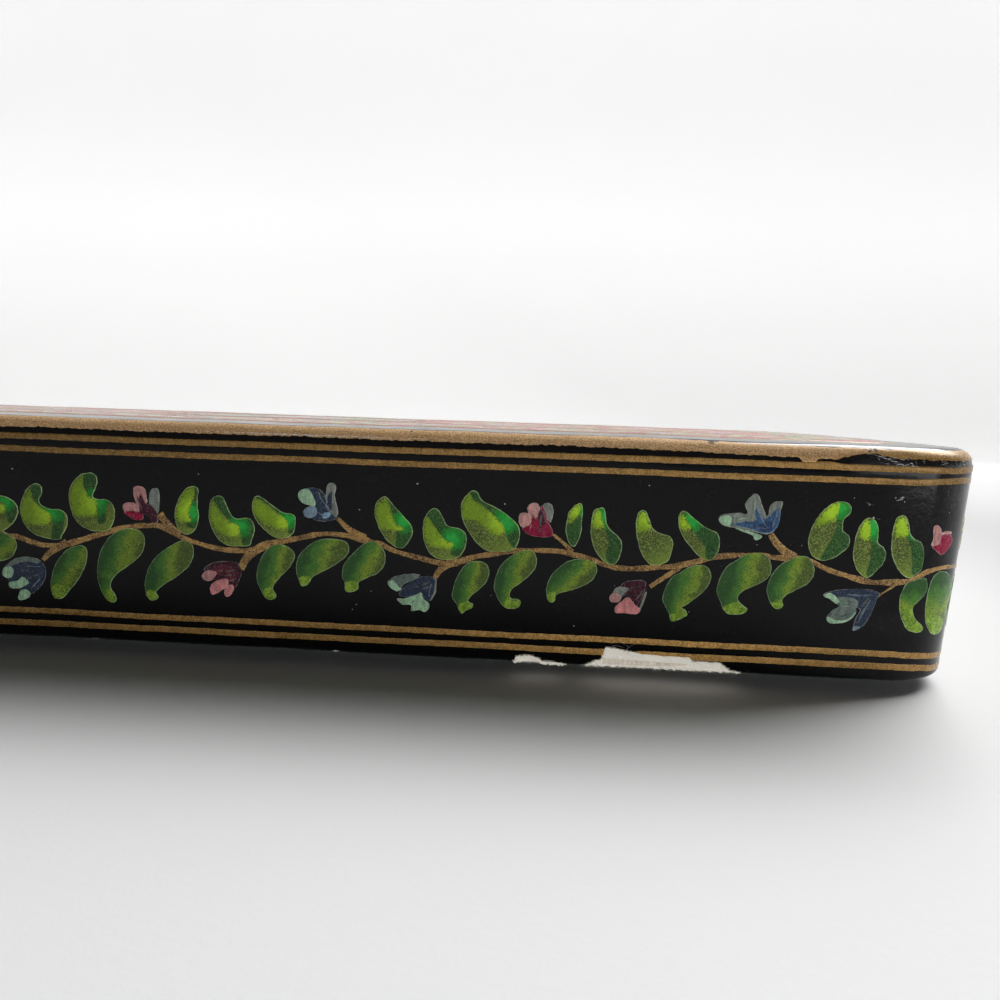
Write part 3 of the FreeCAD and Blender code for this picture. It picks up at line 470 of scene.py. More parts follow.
FLOWERS = [
 [("navy",[(-27.93,9.99),(-26.82,10.73),(-25.41,11.05),(-24.03,10.95),(-23.2,10.56),(-22.66,9.72),(-22.65,8.69),(-23.08,7.63),(-23.85,6.73),(-24.79,5.98),(-25.62,6.46),(-26.42,6.25),(-26.65,6.68),(-27.87,6.7),(-28.1,8.08),(-28.69,8.4),(-28.52,9.27)]),
  ("ashleaf",[(-27.94,9.9),(-26.82,10.76),(-25.4,11.1),(-24.03,10.98),(-23.19,10.59),(-23.75,10.19),(-25.12,10.38),(-26.72,9.96),(-27.82,9.31)]),
  ("paleg",[(-28.61,9.27),(-27.96,9.73),(-27.19,9.51),(-27.08,8.82),(-27.49,8.11),(-28.2,7.99),(-28.74,8.4)]),
  ("paleg",[(-27.89,7.48),(-26.73,7.8),(-25.98,8.36),(-25.4,8.04),(-25.1,7.45),(-25.75,6.98),(-26.65,6.62),(-27.79,6.71)]),
  ("paleg",[(-26.42,6.34),(-25.69,6.64),(-25.02,6.32),(-25.17,5.62),(-25.82,5.15),(-26.53,5.02),(-26.85,5.36)]),
  ("deepink",[(-23.4,9.6),(-24.17,9.25),(-25.28,9.07),(-26.26,9.1),(-26.6,9.2),(-26.28,9.28),(-25.32,9.37),(-24.2,9.52)]),
  ("deepink",[(-23.3,8.9),(-23.93,8.53),(-24.84,8.08),(-25.62,7.69),(-25.9,7.6),(-25.69,7.84),(-24.97,8.33),(-24.04,8.75)]),
  ("slate",[(-23.1,9.9),(-23.73,9.73),(-24.6,9.69),(-25.35,9.8),(-25.6,9.9),(-25.35,9.93),(-24.6,9.91),(-23.73,9.92)]),
  ("slate",[(-23.4,8.3),(-23.72,7.8),(-24.27,7.2),(-24.79,6.72),(-25,6.6),(-24.89,6.82),(-24.45,7.36),(-23.88,7.95)])],
 [("pink",[(-9.97,20.95),(-9.37,21.25),(-8.71,21.16),(-8.31,20.68),(-8.28,19.78),(-8.14,19.29),(-8.69,18.44),(-9.37,18.25),(-9.75,18.98),(-9.95,19.88)]),
  ("pink",[(-11.44,18.74),(-10.84,19.02),(-9.83,18.97),(-9.36,18.41),(-9.08,17.43),(-9.44,16.92),(-10.29,16.88),(-10.94,17.35),(-11.48,18.08)]),
  ("ash",[(-7.82,20.46),(-7.29,21.05),(-6.63,20.92),(-6.51,20.02),(-6.57,18.86),(-6.88,17.69),(-7.88,17.81),(-7.98,19.13)]),
  ("crimson",[(-11.42,17.8),(-10.4,17.96),(-9.22,17.84),(-8.75,17.28),(-9.12,16.73),(-10.29,16.85),(-11.11,17.35)]),
  ("maroon",[(-9.29,19.74),(-8.92,20.25),(-8.47,19.28),(-8.08,18.8),(-7.82,18.98),(-7.02,18.18),(-6.86,17.36),(-6.94,16.53),(-7.7,16.49),(-8.08,17.31),(-8.74,17.45),(-9.31,17.75)]),
  ("maroon",[(-8.8,17.9),(-9.19,18.41),(-9.47,19.2),(-9.56,19.93),(-9.5,20.2),(-9.37,19.99),(-9.15,19.3),(-8.9,18.5)]),
  ("dusk",[(-9.2,17.6),(-9.61,17.61),(-10.14,17.78),(-10.57,17.98),(-10.7,18.1),(-10.53,18.12),(-10.06,18.02),(-9.54,17.84)])],
 [("maroon",[(-0.98,10.58),(0.06,11.39),(1.42,11.71),(2.76,11.77),(3.67,11.48),(4.15,10.65),(3.86,9.45),(3.4,8.5),(2.9,8.1),(2.3,8.7),(1.6,9),(0.7,9.1),(-0.1,9.4),(-0.67,10.09)]),
  ("dusk",[(-0.31,10.44),(1.23,11.19),(2.57,11.09),(3.38,10.11),(3,8.9),(2.17,9.37),(1.01,9.83),(0.16,9.62)]),
  ("pink",[(-1.27,9.72),(-0.66,10.34),(0.19,10.47),(0.85,10.16),(0.32,9.28),(-0.37,8.91),(-1.04,9.05)]),
  ("salmon",[(-0.23,8.23),(0.47,8.95),(1.67,9.43),(2.34,9.21),(2.14,8.35),(1.44,7.8),(0.75,7.34),(0.06,7.08),(-0.26,7.55)]),
  ("salmon",[(1.79,7.99),(2.31,8.53),(2.91,8.64),(2.97,7.88),(2.43,7.08),(1.92,6.88),(1.63,7.38)]),
  ("deepmaroon",[(3.5,10.7),(2.79,10.38),(1.78,10.26),(0.9,10.37),(0.6,10.5),(0.89,10.53),(1.76,10.52),(2.78,10.62)]),
  ("deepmaroon",[(3.5,10.2),(2.96,9.9),(2.17,9.69),(1.45,9.64),(1.2,9.7),(1.42,9.79),(2.11,9.92),(2.92,10.11)]),
  ("dusk",[(3.2,9.5),(3,9.27),(2.66,9.05),(2.33,8.9),(2.2,8.9),(2.27,9.02),(2.54,9.23),(2.9,9.43)]),
  ("palepink",[(0.3,8.3),(0.6,8.57),(1.08,8.8),(1.53,8.91),(1.7,8.9),(1.58,8.8),(1.16,8.61),(0.67,8.4)])],
 [("navy",[(12.91,21.82),(14.05,21.94),(15.02,21.55),(15.49,20.6),(15.73,19.47),(16.62,18.85),(16.9,18.13),(15.95,17.71),(14.81,17.6),(13.67,17.91),(13.36,18.88),(14.02,19.72),(13.71,21.01)]),
  ("mist",[(12.46,18.84),(13.04,19.44),(14.02,19.59),(14.34,19.08),(14.16,18.26),(13.34,17.98),(12.66,18.19)]),
  ("paleg",[(11.84,21.09),(12.17,21.59),(12.91,21.82),(13.48,21.57),(13.79,20.77),(14.19,20.05),(13.85,19.55),(13.2,19.66),(12.39,19.9),(11.91,20.45)]),
  ("ash",[(15.42,21.4),(15.59,22.22),(16,22.67),(16.57,22.61),(16.77,22.1),(16.63,20.8),(16.95,19.52),(17.02,18.71),(16.69,18.2),(15.97,18.99),(15.65,19.95),(15.42,20.75)]),
  ("navy",[(15.75,21.25),(16.16,21.76),(16.4,21.6),(16.31,20.47),(16.46,19.5),(16.13,19),(15.73,19.63),(15.57,20.44)]),
  ("lightblue",[(14.98,18.62),(15.8,18.9),(16.12,18.51),(15.63,18.08),(14.98,18.05)]),
  ("slate",[(16.2,18.3),(15.76,18.96),(15.15,19.88),(14.57,20.63),(14.4,20.9),(14.71,20.73),(15.4,20.05),(15.98,19.11)]),
  ("slate",[(15.9,18.2),(15.4,18.2),(14.79,18.41),(14.33,18.72),(14.2,18.9),(14.39,18.87),(14.89,18.65),(15.49,18.41)]),
  ("ashleaf",[(15.3,19.9),(14.94,20.22),(14.63,20.76),(14.48,21.29),(14.5,21.5),(14.61,21.36),(14.84,20.87),(15.13,20.31)]),
  ("deepink",[(16.3,18.6),(16.18,19.1),(16.13,19.79),(16.14,20.4),(16.2,20.6),(16.28,20.4),(16.35,19.81),(16.37,19.1)])],
 [("palepink",[(40.19,19.37),(40.64,19.87),(41.59,19.75),(42.1,18.81),(41.8,18.31),(40.87,17.95),(40.3,18.33)]),
  ("palepink",[(41.25,20.54),(41.7,21.12),(42.49,21.1),(42.82,20.61),(42.77,19.96),(42.4,19.31),(42.08,19.45),(41.44,19.75)]),
  ("ash",[(43.2,20.94),(43.74,21.25),(44.3,20.99),(44.56,20.2),(44.44,19.39),(44.23,18.74),(43.83,19.05),(43.48,19.83)]),
  ("crimson",[(40.71,17.91),(41.64,18.47),(41.8,19.36),(42.14,19.78),(42.4,19.15),(42.71,20.28),(43.12,20.94),(43.64,19.84),(44,18.73),(44.59,17.63),(44.39,16.97),(42.97,16.78),(41.69,17.02),(40.89,17.47)]),
  ("maroon",[(42.57,19.63),(42.97,20.77),(43.45,19.67),(43.7,18.4),(43.07,18.37),(42.61,18.67)]),
  ("deepmaroon",[(43,17.2),(42.77,17.91),(42.76,18.89),(42.93,19.73),(43.1,20),(43.17,19.72),(43.16,18.88),(43.13,17.9)]),
  ("palepink",[(41.6,17.6),(41.63,17.95),(41.76,18.4),(41.91,18.78),(42,18.9),(42.01,18.76),(41.92,18.36),(41.77,17.9)])],
 [("maroon",[(53.38,10.86),(54.13,11.56),(55.37,11.78),(56.32,11.75),(56.69,11.35),(56.56,10.36),(56.16,9.35),(55.74,8.33),(55.36,8.15),(55.06,9.13),(54.39,9.76),(53.46,9.38),(53.9,10.06)]),
  ("ash",[(52.48,9.99),(52.92,10.67),(53.85,10.89),(54.66,10.6),(54.06,9.99),(53.3,9.54),(52.34,9.57)]),
  ("palepink",[(52.12,9.39),(52.56,10),(53.27,9.95),(53.63,9.3),(53.26,8.79),(52.55,8.67),(52.19,8.98)]),
  ("salmon",[(52.85,7.69),(53.05,8.36),(53.8,9.06),(54.49,9.51),(55.16,8.88),(55.74,8.33),(56.09,7.85),(55.65,7.25),(54.86,7.29),(53.9,7.32),(53.11,7.28)]),
  ("ash",[(56.58,10.2),(56.82,10.13),(56.5,8.87),(56.1,7.69),(55.87,7.51),(56.11,8.77)]),
  ("deepmaroon",[(56.2,11.2),(55.86,10.87),(55.31,10.67),(54.8,10.63),(54.6,10.7),(54.74,10.8),(55.22,10.95),(55.78,11.13)]),
  ("deepmaroon",[(56.3,10.7),(56.27,10.21),(55.99,9.66),(55.61,9.28),(55.4,9.2),(55.43,9.38),(55.7,9.84),(56.01,10.37)]),
  ("palepink",[(55,8.8),(54.81,8.47),(54.47,8.08),(54.14,7.77),(54,7.7),(54.06,7.85),(54.33,8.2),(54.69,8.58)])],
 [("ash",[(68.08,21.98),(68.46,22.78),(69.16,23.46),(69.64,23.22),(70,22.53),(70.39,21.61),(70.92,20.69),(71.12,21.87),(71.66,22.52),(72.56,22.6),(72.63,22.17),(72.41,21.06),(72.36,19.96),(71.99,19),(71.43,18.5),(70.67,18.43),(68.97,18.7),(67.57,18.96),(66.33,19.14),(65.39,19.42),(65.03,20.12),(65.3,20.6),(66.19,20.83),(67.4,20.98),(68.47,20.9)]),
  ("paleg",[(65.03,20.04),(65.38,20.56),(66.21,20.67),(66.66,20.19),(66.6,19.55),(66.33,19.19),(65.46,19.47)]),
  ("paleg",[(66.64,19.16),(68.35,18.84),(69.44,18.57),(70.55,18.14),(69.98,17.64),(69.51,17.74),(69.32,18.16),(68.06,18.63)]),
  ("blue",[(66.45,19.51),(68.25,19.97),(69.42,20.12),(69.3,21.48),(69.61,21.81),(70.32,20.66),(70.82,20.45),(71.76,21.51),(72.37,21.81),(72.46,20.12),(71.99,19),(71.12,18.51),(70.2,18.6),(68.94,18.99),(67.55,19.24)]),
  ("deepblue",[(69.81,19.53),(70.68,20.04),(71.59,20.08),(71.95,19.47),(71.26,18.65),(70.34,18.69)]),
  ("slate",[(71.3,18.9),(70.53,19.68),(69.74,20.95),(69.27,22.15),(69.2,22.6),(69.43,22.24),(70,21.1),(70.76,19.82)]),
  ("slate",[(71.5,19),(71.6,19.71),(71.82,20.69),(71.99,21.53),(72.1,21.8),(72.16,21.49),(72.09,20.63),(71.85,19.66)]),
  ("paleg",[(66.6,19.9),(67.22,20.17),(68.13,20.37),(68.92,20.43),(69.2,20.4),(68.94,20.34),(68.16,20.22),(67.25,20.03)]),
  ("deepink",[(71.2,19.1),(70.51,19.04),(69.6,19.18),(68.84,19.44),(68.6,19.6),(68.87,19.59),(69.65,19.43),(70.56,19.27)]),
  ("paleg",[(69.4,20.9),(69.27,21.37),(69.21,22.03),(69.24,22.61),(69.3,22.8),(69.34,22.61),(69.37,22.04),(69.41,21.38)])],
 [("navy",[(79.44,11.49),(80.78,11.8),(82.44,11.96),(84.26,11.97),(85.05,11.77),(85.54,11.47),(85.31,10.81),(85.04,9.82),(84.66,8.5),(84.16,7.49),(83.47,6.8),(82.88,6.6),(82.75,7.09),(82.87,8.08),(83.35,9.25),(82.71,9.54),(81.79,9.58),(80.88,9.45),(80.54,9.76),(79.71,10.37),(78.9,10.82),(78.71,11.13)]),
  ("ashleaf",[(80.14,10.63),(81.03,10.92),(82.26,10.82),(83.08,10.29),(82.87,9.47),(81.79,9.58),(80.87,9.53)]),
  ("paleg",[(78.7,11),(79.45,11.36),(80.1,11.04),(80.79,10.26),(80.41,9.88),(79.55,10.44),(78.91,10.69)]),
  ("ashleaf",[(79.34,8.06),(79.86,8.91),(80.72,9.52),(81.78,9.66),(82.72,9.46),(82.93,8.9),(82.41,8.06),(81.55,7.52),(80.49,7.33),(79.63,7.5)]),
  ("paleg",[(79.35,7.98),(79.54,8.32),(80.43,7.87),(81.5,7.93),(82.22,8.37),(82.76,9.06),(82.93,8.9),(82.41,8.02),(81.55,7.49),(80.5,7.3),(79.63,7.45)]),
  ("mist",[(82.76,6.51),(82.75,7.09),(83.12,7.19),(83.6,7.05),(83.4,6.71)]),
  ("slate",[(84.9,11.3),(84.03,11.07),(82.81,10.99),(81.75,11.08),(81.4,11.2),(81.75,11.26),(82.8,11.29),(84.02,11.33)]),
  ("slate",[(84.6,10.8),(84.27,9.95),(83.79,8.77),(83.45,7.73),(83.3,7.4),(83.27,7.8),(83.49,8.89),(84,10.05)]),
  ("deepink",[(84.4,11.2),(84.28,10.72),(83.94,10.15),(83.59,9.71),(83.4,9.6),(83.41,9.81),(83.66,10.33),(84.02,10.88)]),
  ("navy",[(82.3,8.9),(81.93,8.52),(81.31,8.21),(80.73,8.08),(80.5,8.1),(80.66,8.22),(81.21,8.45),(81.83,8.74)])],
 [("pink",[(91.61,20.04),(92.17,20.34),(92.95,19.85),(93.22,18.73),(92.93,17.95),(92.32,17.65),(91.64,17.82),(91.79,18.61)]),
  ("crimson",[(91.78,17.66),(92.93,17.95),(93.14,19.05),(94.12,19.17),(95.37,18.94),(96.02,18.09),(95.04,17.03),(93.79,16.47),(92.42,17.17)]),
  ("pink",[(93.08,19.29),(94.03,19.49),(95.21,19.4),(95.49,19.06),(94.15,19.07),(93.27,19.01)])],
 [("navy",[(25.11,8.8),(26.08,9.86),(27.38,10.76),(29,11.04),(29.75,10.37),(29.69,8.86),(29.13,7.82),(28.56,7.63),(28.15,8.03),(27.89,8.77),(26.75,8.21),(25.44,8.06),(24.94,8.37)]),
  ("ashleaf",[(23.62,10.07),(24.44,10.78),(26.23,11.2),(27.7,11.14),(26.89,10.4),(25.75,9.81),(24.94,9.05),(24.12,9.17)]),
  ("paleg",[(23.52,10.07),(24.28,10.31),(24.94,9.5),(25.3,9.06),(24.65,8.78),(23.71,9.37)]),
  ("paleg",[(24.7,7.77),(25.77,7.91),(26.91,8.3),(27.89,8.77),(28.15,7.94),(28.86,7.47),(28.93,6.71),(28.33,6.14),(27.59,6.39),(26.61,6.22),(26.52,7.02),(25.45,7.01)]),
  ("ash",[(29.66,10.7),(29.86,10.38),(29.77,8.87),(29.21,7.74),(29.05,7.82),(29.52,9.19)]),
  ("deepink",[(29.2,10.4),(28.64,9.92),(27.74,9.5),(26.91,9.29),(26.6,9.3),(26.84,9.47),(27.62,9.8),(28.52,10.19)]),
  ("deepink",[(29.3,9.6),(29.01,9.39),(28.55,9.27),(28.15,9.24),(28,9.3),(28.11,9.42),(28.49,9.57),(28.94,9.66)]),
  ("slate",[(29.3,10.2),(29.23,9.69),(29.08,9),(28.98,8.39),(28.9,8.2),(28.83,8.42),(28.85,9.04),(29.02,9.74)]),
  ("deepgreen",[(24.9,10.2),(25.33,10.48),(25.99,10.71),(26.58,10.82),(26.8,10.8),(26.62,10.69),(26.06,10.5),(25.39,10.29)]),
  ("ashleaf",[(27.4,7.9),(27.15,7.65),(26.73,7.39),(26.35,7.22),(26.2,7.2),(26.29,7.32),(26.63,7.57),(27.05,7.8)])],
]
STEM = [(-27.59,13.87),(-26.05,13.74),(-24.37,13.17),(-22.67,12.82),(-20.95,12.84),(-19.73,13),(-18.33,13.44),(-16.58,14.02),(-14.84,14.57),(-13.1,15.22),(-11.37,15.73),(-9.67,15.97),(-7.97,16.08),(-6.63,16.06),(-5.48,15.56),(-4.33,14.9),(-3.01,14.43),(-1.68,14.04),(-0.19,13.6),(1.47,13.34),(3.14,13.25),(4.81,13.29),(5.99,13.63),(7.33,14.19),(9,14.6),(10.66,15.01),(12.32,15.41),(13.97,15.82),(15.61,16.02),(17.25,15.96),(18.88,15.79),(20.18,15.52),(21.32,15.16),(22.46,15.04),(23.44,14.51),(24.91,14),(26.54,13.58),(28.16,13.24),(29.79,12.9),(31.41,12.81),(33.01,13.22),(34.61,13.79),(36.21,14.19),(37.8,14.51),(39.39,14.83),(40.97,14.98),(43.35,15.09),(45.73,15.04),(47.49,14.68),(48.45,14.51),(50.05,14.01),(51.66,13.44),(53.24,13.23),(55.59,13.3),(57.93,13.57),(60.25,13.84),(61.78,14.24),(63.29,14.71),(64.8,15.19),(67.09,15.54),(69.38,15.69),(71.07,15.7),(72,15.55),(73.54,15.47),(74.92,15.42),(76.61,15.26),(78.21,14.53),(79.79,13.96),(81.35,13.56),(83.23,13.08),(84.46,12.9),(85.97,12.94),(87.51,13.05),(88.85,13.21),(90.06,13.6),(91.51,14.31),(94.25,14.78),(99.03,14.54)]
STALKS = [
 ([(-22.92,10.74),(-21.89,11.81),(-20.44,12.73),(-19.37,13.29)],(0.5,1.03)),
 ([(-6.63,17.7),(-5.76,16.58),(-4.64,15.54),(-3.99,14.99)],(0.93,0.67)),
 ([(3.98,10.78),(4.61,11.99),(5.47,12.94),(6.66,13.76),(8,14.32)],(0.87,1.1)),
 ([(16.94,18.08),(17.99,17.08),(19.21,16.21),(20.51,15.58)],(0.5,1.03)),
 ([(29.66,10.78),(30.29,11.9),(31.25,12.69),(32.53,13.16)],(0.57,1.1)),
 ([(44.61,17.23),(45.51,16.54),(46.49,15.69),(47.15,15.12)],(0.33,0.5)),
 ([(57.16,10.97),(58.35,11.93),(59.54,12.8),(60.73,13.67)],(0.5,0.57)),
 ([(71.51,18.42),(72.29,17.37),(73.38,16.39),(74.75,15.62)],(0.67,0.97)),
 ([(85.34,11.17),(86.39,11.97),(87.38,12.77),(88.16,13.2)],(0.23,0.33)),
]
KNOTS = [(-18.34,13.3,0.57),(19.89,16.01,0.73),(8,14.36,0.57),(33.65,13.71,0.6),(61.1,13.98,0.57),(87.21,13.45,0.67),(74.83,15.59,0.63)]

# ---- materials ----------------------------------------------------------------
class Nodes:
    """Short hand for building a material's node tree."""

    def __init__(self, name):
        self.mat = bpy.data.materials.new(name)
        self.mat.use_nodes = True
        self.t = self.mat.node_tree
        self.t.nodes.clear()
        self.out = self.t.nodes.new("ShaderNodeOutputMaterial")
        self.bsdf = self.t.nodes.new("ShaderNodeBsdfPrincipled")
        self.t.links.new(self.bsdf.outputs[0], self.out.inputs[0])
        self.co = self.t.nodes.new("ShaderNodeTexCoord").outputs["Object"]

    def link(self, a, b):
        self.t.links.new(a, b)

    def put(self, sock, v):
        if isinstance(v, bpy.types.NodeSocket):
            self.link(v, sock)
        else:
            sock.default_value = v

    def attr(self, name, colour=False):
        n = self.t.nodes.new("ShaderNodeAttribute")
        n.attribute_name = name
        return n.outputs["Color" if colour else "Fac"]

    def noise(self, scale, detail=2.0, rough=0.55, co=None, stretch=None, colour=False):
        n = self.t.nodes.new("ShaderNodeTexNoise")
        n.inputs["Scale"].default_value = scale
        n.inputs["Detail"].default_value = detail
        n.inputs["Roughness"].default_value = rough
        src = co or self.co
        if stretch:
            m = self.t.nodes.new("ShaderNodeMapping")
            m.inputs["Scale"].default_value = stretch
            self.link(src, m.inputs[0])
            src = m.outputs[0]
        self.link(src, n.inputs["Vector"])
        return n.outputs["Color" if colour else "Fac"]

    def voronoi(self, scale, feature="F1", out="Distance"):
        n = self.t.nodes.new("ShaderNodeTexVoronoi")
        n.feature = feature
        n.inputs["Scale"].default_value = scale
        self.link(self.co, n.inputs["Vector"])
        return n.outputs[out]

    def math(self, op, a, b=0.0, clamp=False):
        n = self.t.nodes.new("ShaderNodeMath")
        n.operation = op
        n.use_clamp = clamp
        self.put(n.inputs[0], a)
        self.put(n.inputs[1], b)
        return n.outputs[0]

    def step(self, v, lo, hi, a=0.0, b=1.0):
        n = self.t.nodes.new("ShaderNodeMapRange")
        n.interpolation_type = "SMOOTHSTEP"
        self.put(n.inputs["Value"], v)
        for k, x in zip(("From Min", "From Max", "To Min", "To Max"), (lo, hi, a, b)):
            n.inputs[k].default_value = x
        return n.outputs[0]

    def lerp(self, v, lo, hi, a=0.0, b=1.0):
        n = self.t.nodes.new("ShaderNodeMapRange")
        self.put(n.inputs["Value"], v)
        for k, x in zip(("From Min", "From Max", "To Min", "To Max"), (lo, hi, a, b)):
            n.inputs[k].default_value = x
        return n.outputs[0]

    def mix(self, f, a, b, mode="MIX"):
        n = self.t.nodes.new("ShaderNodeMix")
        n.data_type = "RGBA"
        n.blend_type = mode
        self.put(n.inputs[0], f)
        self.put(n.inputs[6], a)
        self.put(n.inputs[7], b)
        return n.outputs[2]

    def bump(self, h, dist, strength=1.0, normal=None):
        n = self.t.nodes.new("ShaderNodeBump")
        n.inputs["Distance"].default_value = dist
        n.inputs["Strength"].default_value = strength
        self.link(h, n.inputs["Height"])
        if normal:
            self.link(normal, n.inputs["Normal"])
        return n.outputs[0]

    def finish(self, colour, rough, normal=None, metal=0.0, spec=0.5, **more):
        b = self.bsdf.inputs
        self.put(b["Base Color"], colour)
        self.put(b["Roughness"], rough)
        self.put(b["Metallic"], metal)
        b["Specular IOR Level"].default_value = spec
        for k, v in more.items():
            b[k.replace("_", " ")].default_value = v
        if normal:
            self.link(normal, b["Normal"])
        return self.mat


SPEC = 0.13     # gloss of the old varnish


def varnish(n, fine=0.6):
    """Slightly uneven gloss shared by the lacquer and the painting under it."""
    slow = n.noise(90, 3, 0.5)
    mid = n.noise(700, 2, 0.5)
    h = n.math("ADD", n.math("MULTIPLY", slow, 0.6), n.math("MULTIPLY", mid, 0.10 * fine))
    return n.bump(h, 0.00025, 0.5), n.lerp(n.noise(240, 4, 0.6), 0.3, 0.7, 0.05, 0.12)


def mat_lacquer():
    n = Nodes("black_lacquer")
    nor, rough = varnish(n)
    # faint smears of handling and dry dust
    smear = n.step(n.noise(120, 5, 0.62, stretch=(1.0, 1.0, 2.4)), 0.56, 0.74)
    dust = n.step(n.noise(2600, 2, 0.5), 0.66, 0.75)
    c = n.mix(n.math("MULTIPLY", smear, 0.35), (0.0030, 0.0030, 0.0034, 1), (0.0085, 0.0086, 0.0098, 1))
    c = n.mix(n.math("MULTIPLY", dust, 0.25), c, (0.035, 0.034, 0.034, 1))
    # white ground showing at knocked edges
    g = n.step(n.math("ADD", n.attr("bare"), n.math("MULTIPLY", n.noise(2500, 3, 0.6), 0.35)), 0.62, 0.8)
    c = n.mix(g, c, (0.60, 0.56, 0.48, 1))
    # rubbed, dusty corner of the top edge, and a painted grey reflection along the lower edge of the rim
    w = n.attr("rub")
    speck = n.step(n.noise(1500, 4, 0.7), 0.50, 0.62)
    c = n.mix(n.math("MULTIPLY", n.math("MULTIPLY", w, n.lerp(speck, 0.0, 1.0, 0.35, 1.0)), 0.55), c, (0.16, 0.16, 0.165, 1))
    sep = n.t.nodes.new("ShaderNodeSeparateXYZ")
    n.link(n.co, sep.inputs[0])
    # painted reflection: the turn of the top edge is painted lighter grey and the top warm brown, for the pale warm
    # reflection they show at a low angle; the top is also rubbed rougher by handling
    turn = n.math("MULTIPLY", n.step(sep.outputs["Z"], 0.0290, 0.0298), n.step(sep.outputs["Z"], 0.0316, 0.0312))
    c = n.mix(n.math("MULTIPLY", turn, 0.8), c, (0.0125, 0.0115, 0.0115, 1))
    c = n.mix(n.math("MULTIPLY", n.step(sep.outputs["Z"], 0.0313, 0.0317), 0.8), c, (0.016, 0.0085, 0.0075, 1))
    rough = n.math("ADD", rough, n.step(sep.outputs["Z"], 0.0311, 0.0317, 0.0, 0.09))
    rough = n.math("ADD", rough, n.math("MULTIPLY", smear, 0.10))
    rough = n.math("ADD", rough, n.math("MULTIPLY", g, 0.6))
    rough = n.math("ADD", rough, n.math("MULTIPLY", w, 0.05), clamp=True)
    nor = n.bump(n.math("MULTIPLY", n.noise(1300, 4, 0.7), w), 0.0004, 0.6, nor)
    return n.finish(c, rough, nor, spec=SPEC)


def line_light_and_shade(n):
    """Painted light and shade on the gold lines of the front, by place: upper pair and lower pair."""
    sep = n.t.nodes.new("ShaderNodeSeparateXYZ")
    n.link(n.co, sep.inputs[0])
    x, y, z = sep.outputs
    add = lambda *v: v[0] if len(v) == 1 else n.math("ADD", v[0], add(*v[1:]))
    upper = add(n.lerp(x, -0.020, 0.062, 0.50, 0.86), n.step(x, -0.030, -0.075, 0.0, 0.25), n.step(x, 0.074, 0.093, 0.0, -0.28))
    lower = add(n.step(x, 0.020, 0.056, 0.92, 1.54), n.step(x, 0.060, 0.086, 0.0, -0.70), n.step(x, -0.004, -0.022, 0.0, -0.25))
    k = n.step(z, 0.018, 0.024)
    tone = n.math("ADD", n.math("MULTIPLY", upper, k), n.math("MULTIPLY", lower, n.math("SUBTRACT", 1.0, k)))
    front = n.step(y, -0.030, -0.034)
    return n.math("ADD", n.math("MULTIPLY", n.math("SUBTRACT", tone, 0.85), front), 0.85)


def painted_shade_left(n, c):
    """Painted shade: the green is darkened from about the middle of the box towards the left."""
    sep = n.t.nodes.new("ShaderNodeSeparateXYZ")
    n.link(n.co, sep.inputs[0])
    x = sep.outputs["X"]
    return n.mix(1.0, c, n.math("ADD", n.lerp(x, -0.024, 0.006, 0.76, 1.0), n.step(x, -0.030, -0.070, 0.0, 0.20)), "MULTIPLY")


def mat_gold():
    n = Nodes("bronze_gold_paint")
    nor, rough = varnish(n)
    grain = n.noise(5200, 2, 0.6)
    mid = n.noise(900, 3, 0.6)
    c = n.mix(n.step(mid, 0.35, 0.65), paint(112, 87, 52), paint(132, 103, 62))
    c = n.mix(n.math("MULTIPLY", n.step(grain, 0.52, 0.62), 0.40), c, paint(158, 130, 84))
    c = n.mix(n.math("MULTIPLY", n.step(grain, 0.46, 0.36), 0.50), c, paint(80, 60, 34))
    # painted light: the gold on the edge is painted paler where it turns up towards the light, with a painted highlight
    # line along it
    e = n.attr("edge")
    c = n.mix(n.math("MULTIPLY", n.step(e, 0.0, 0.6), 0.75), c, n.mix(n.step(grain, 0.38, 0.62), paint(134, 106, 78), paint(176, 146, 112)))
    c = n.mix(n.math("MULTIPLY", n.step(n.math("ADD", e, n.math("MULTIPLY", n.math("SUBTRACT", grain, 0.5), 0.9)), 1.35, 1.75), 0.9), c, paint(246, 220, 176))
    # painted light and shade: the front's lines are painted lighter or darker by place, after how the light falls on
    # them
    c = n.mix(n.step(e, 0.30, 0.0), c, n.mix(1.0, c, line_light_and_shade(n), "MULTIPLY"))
    wear = n.math("ADD", n.attr("wear"), n.math("MULTIPLY", n.math("SUBTRACT", n.noise(1900, 4, 0.65), 0.5), 0.9))
    gone = n.step(wear, 0.52, 0.62)
    c = n.mix(gone, c, (0.0045, 0.0042, 0.0042, 1))
    metal = n.math("MULTIPLY", n.math("SUBTRACT", 1.0, gone), 0.12)
    nor = n.bump(grain, 0.00003, 0.6, nor)
    rough = n.math("ADD", rough, n.lerp(grain, 0.3, 0.7, 0.10, 0.22), clamp=True)
    rough = n.math("ADD", rough, n.math("MULTIPLY", n.step(e, 0.0, 0.6), 0.30), clamp=True)
    return n.finish(c, rough, nor, metal=metal, spec=0.12)


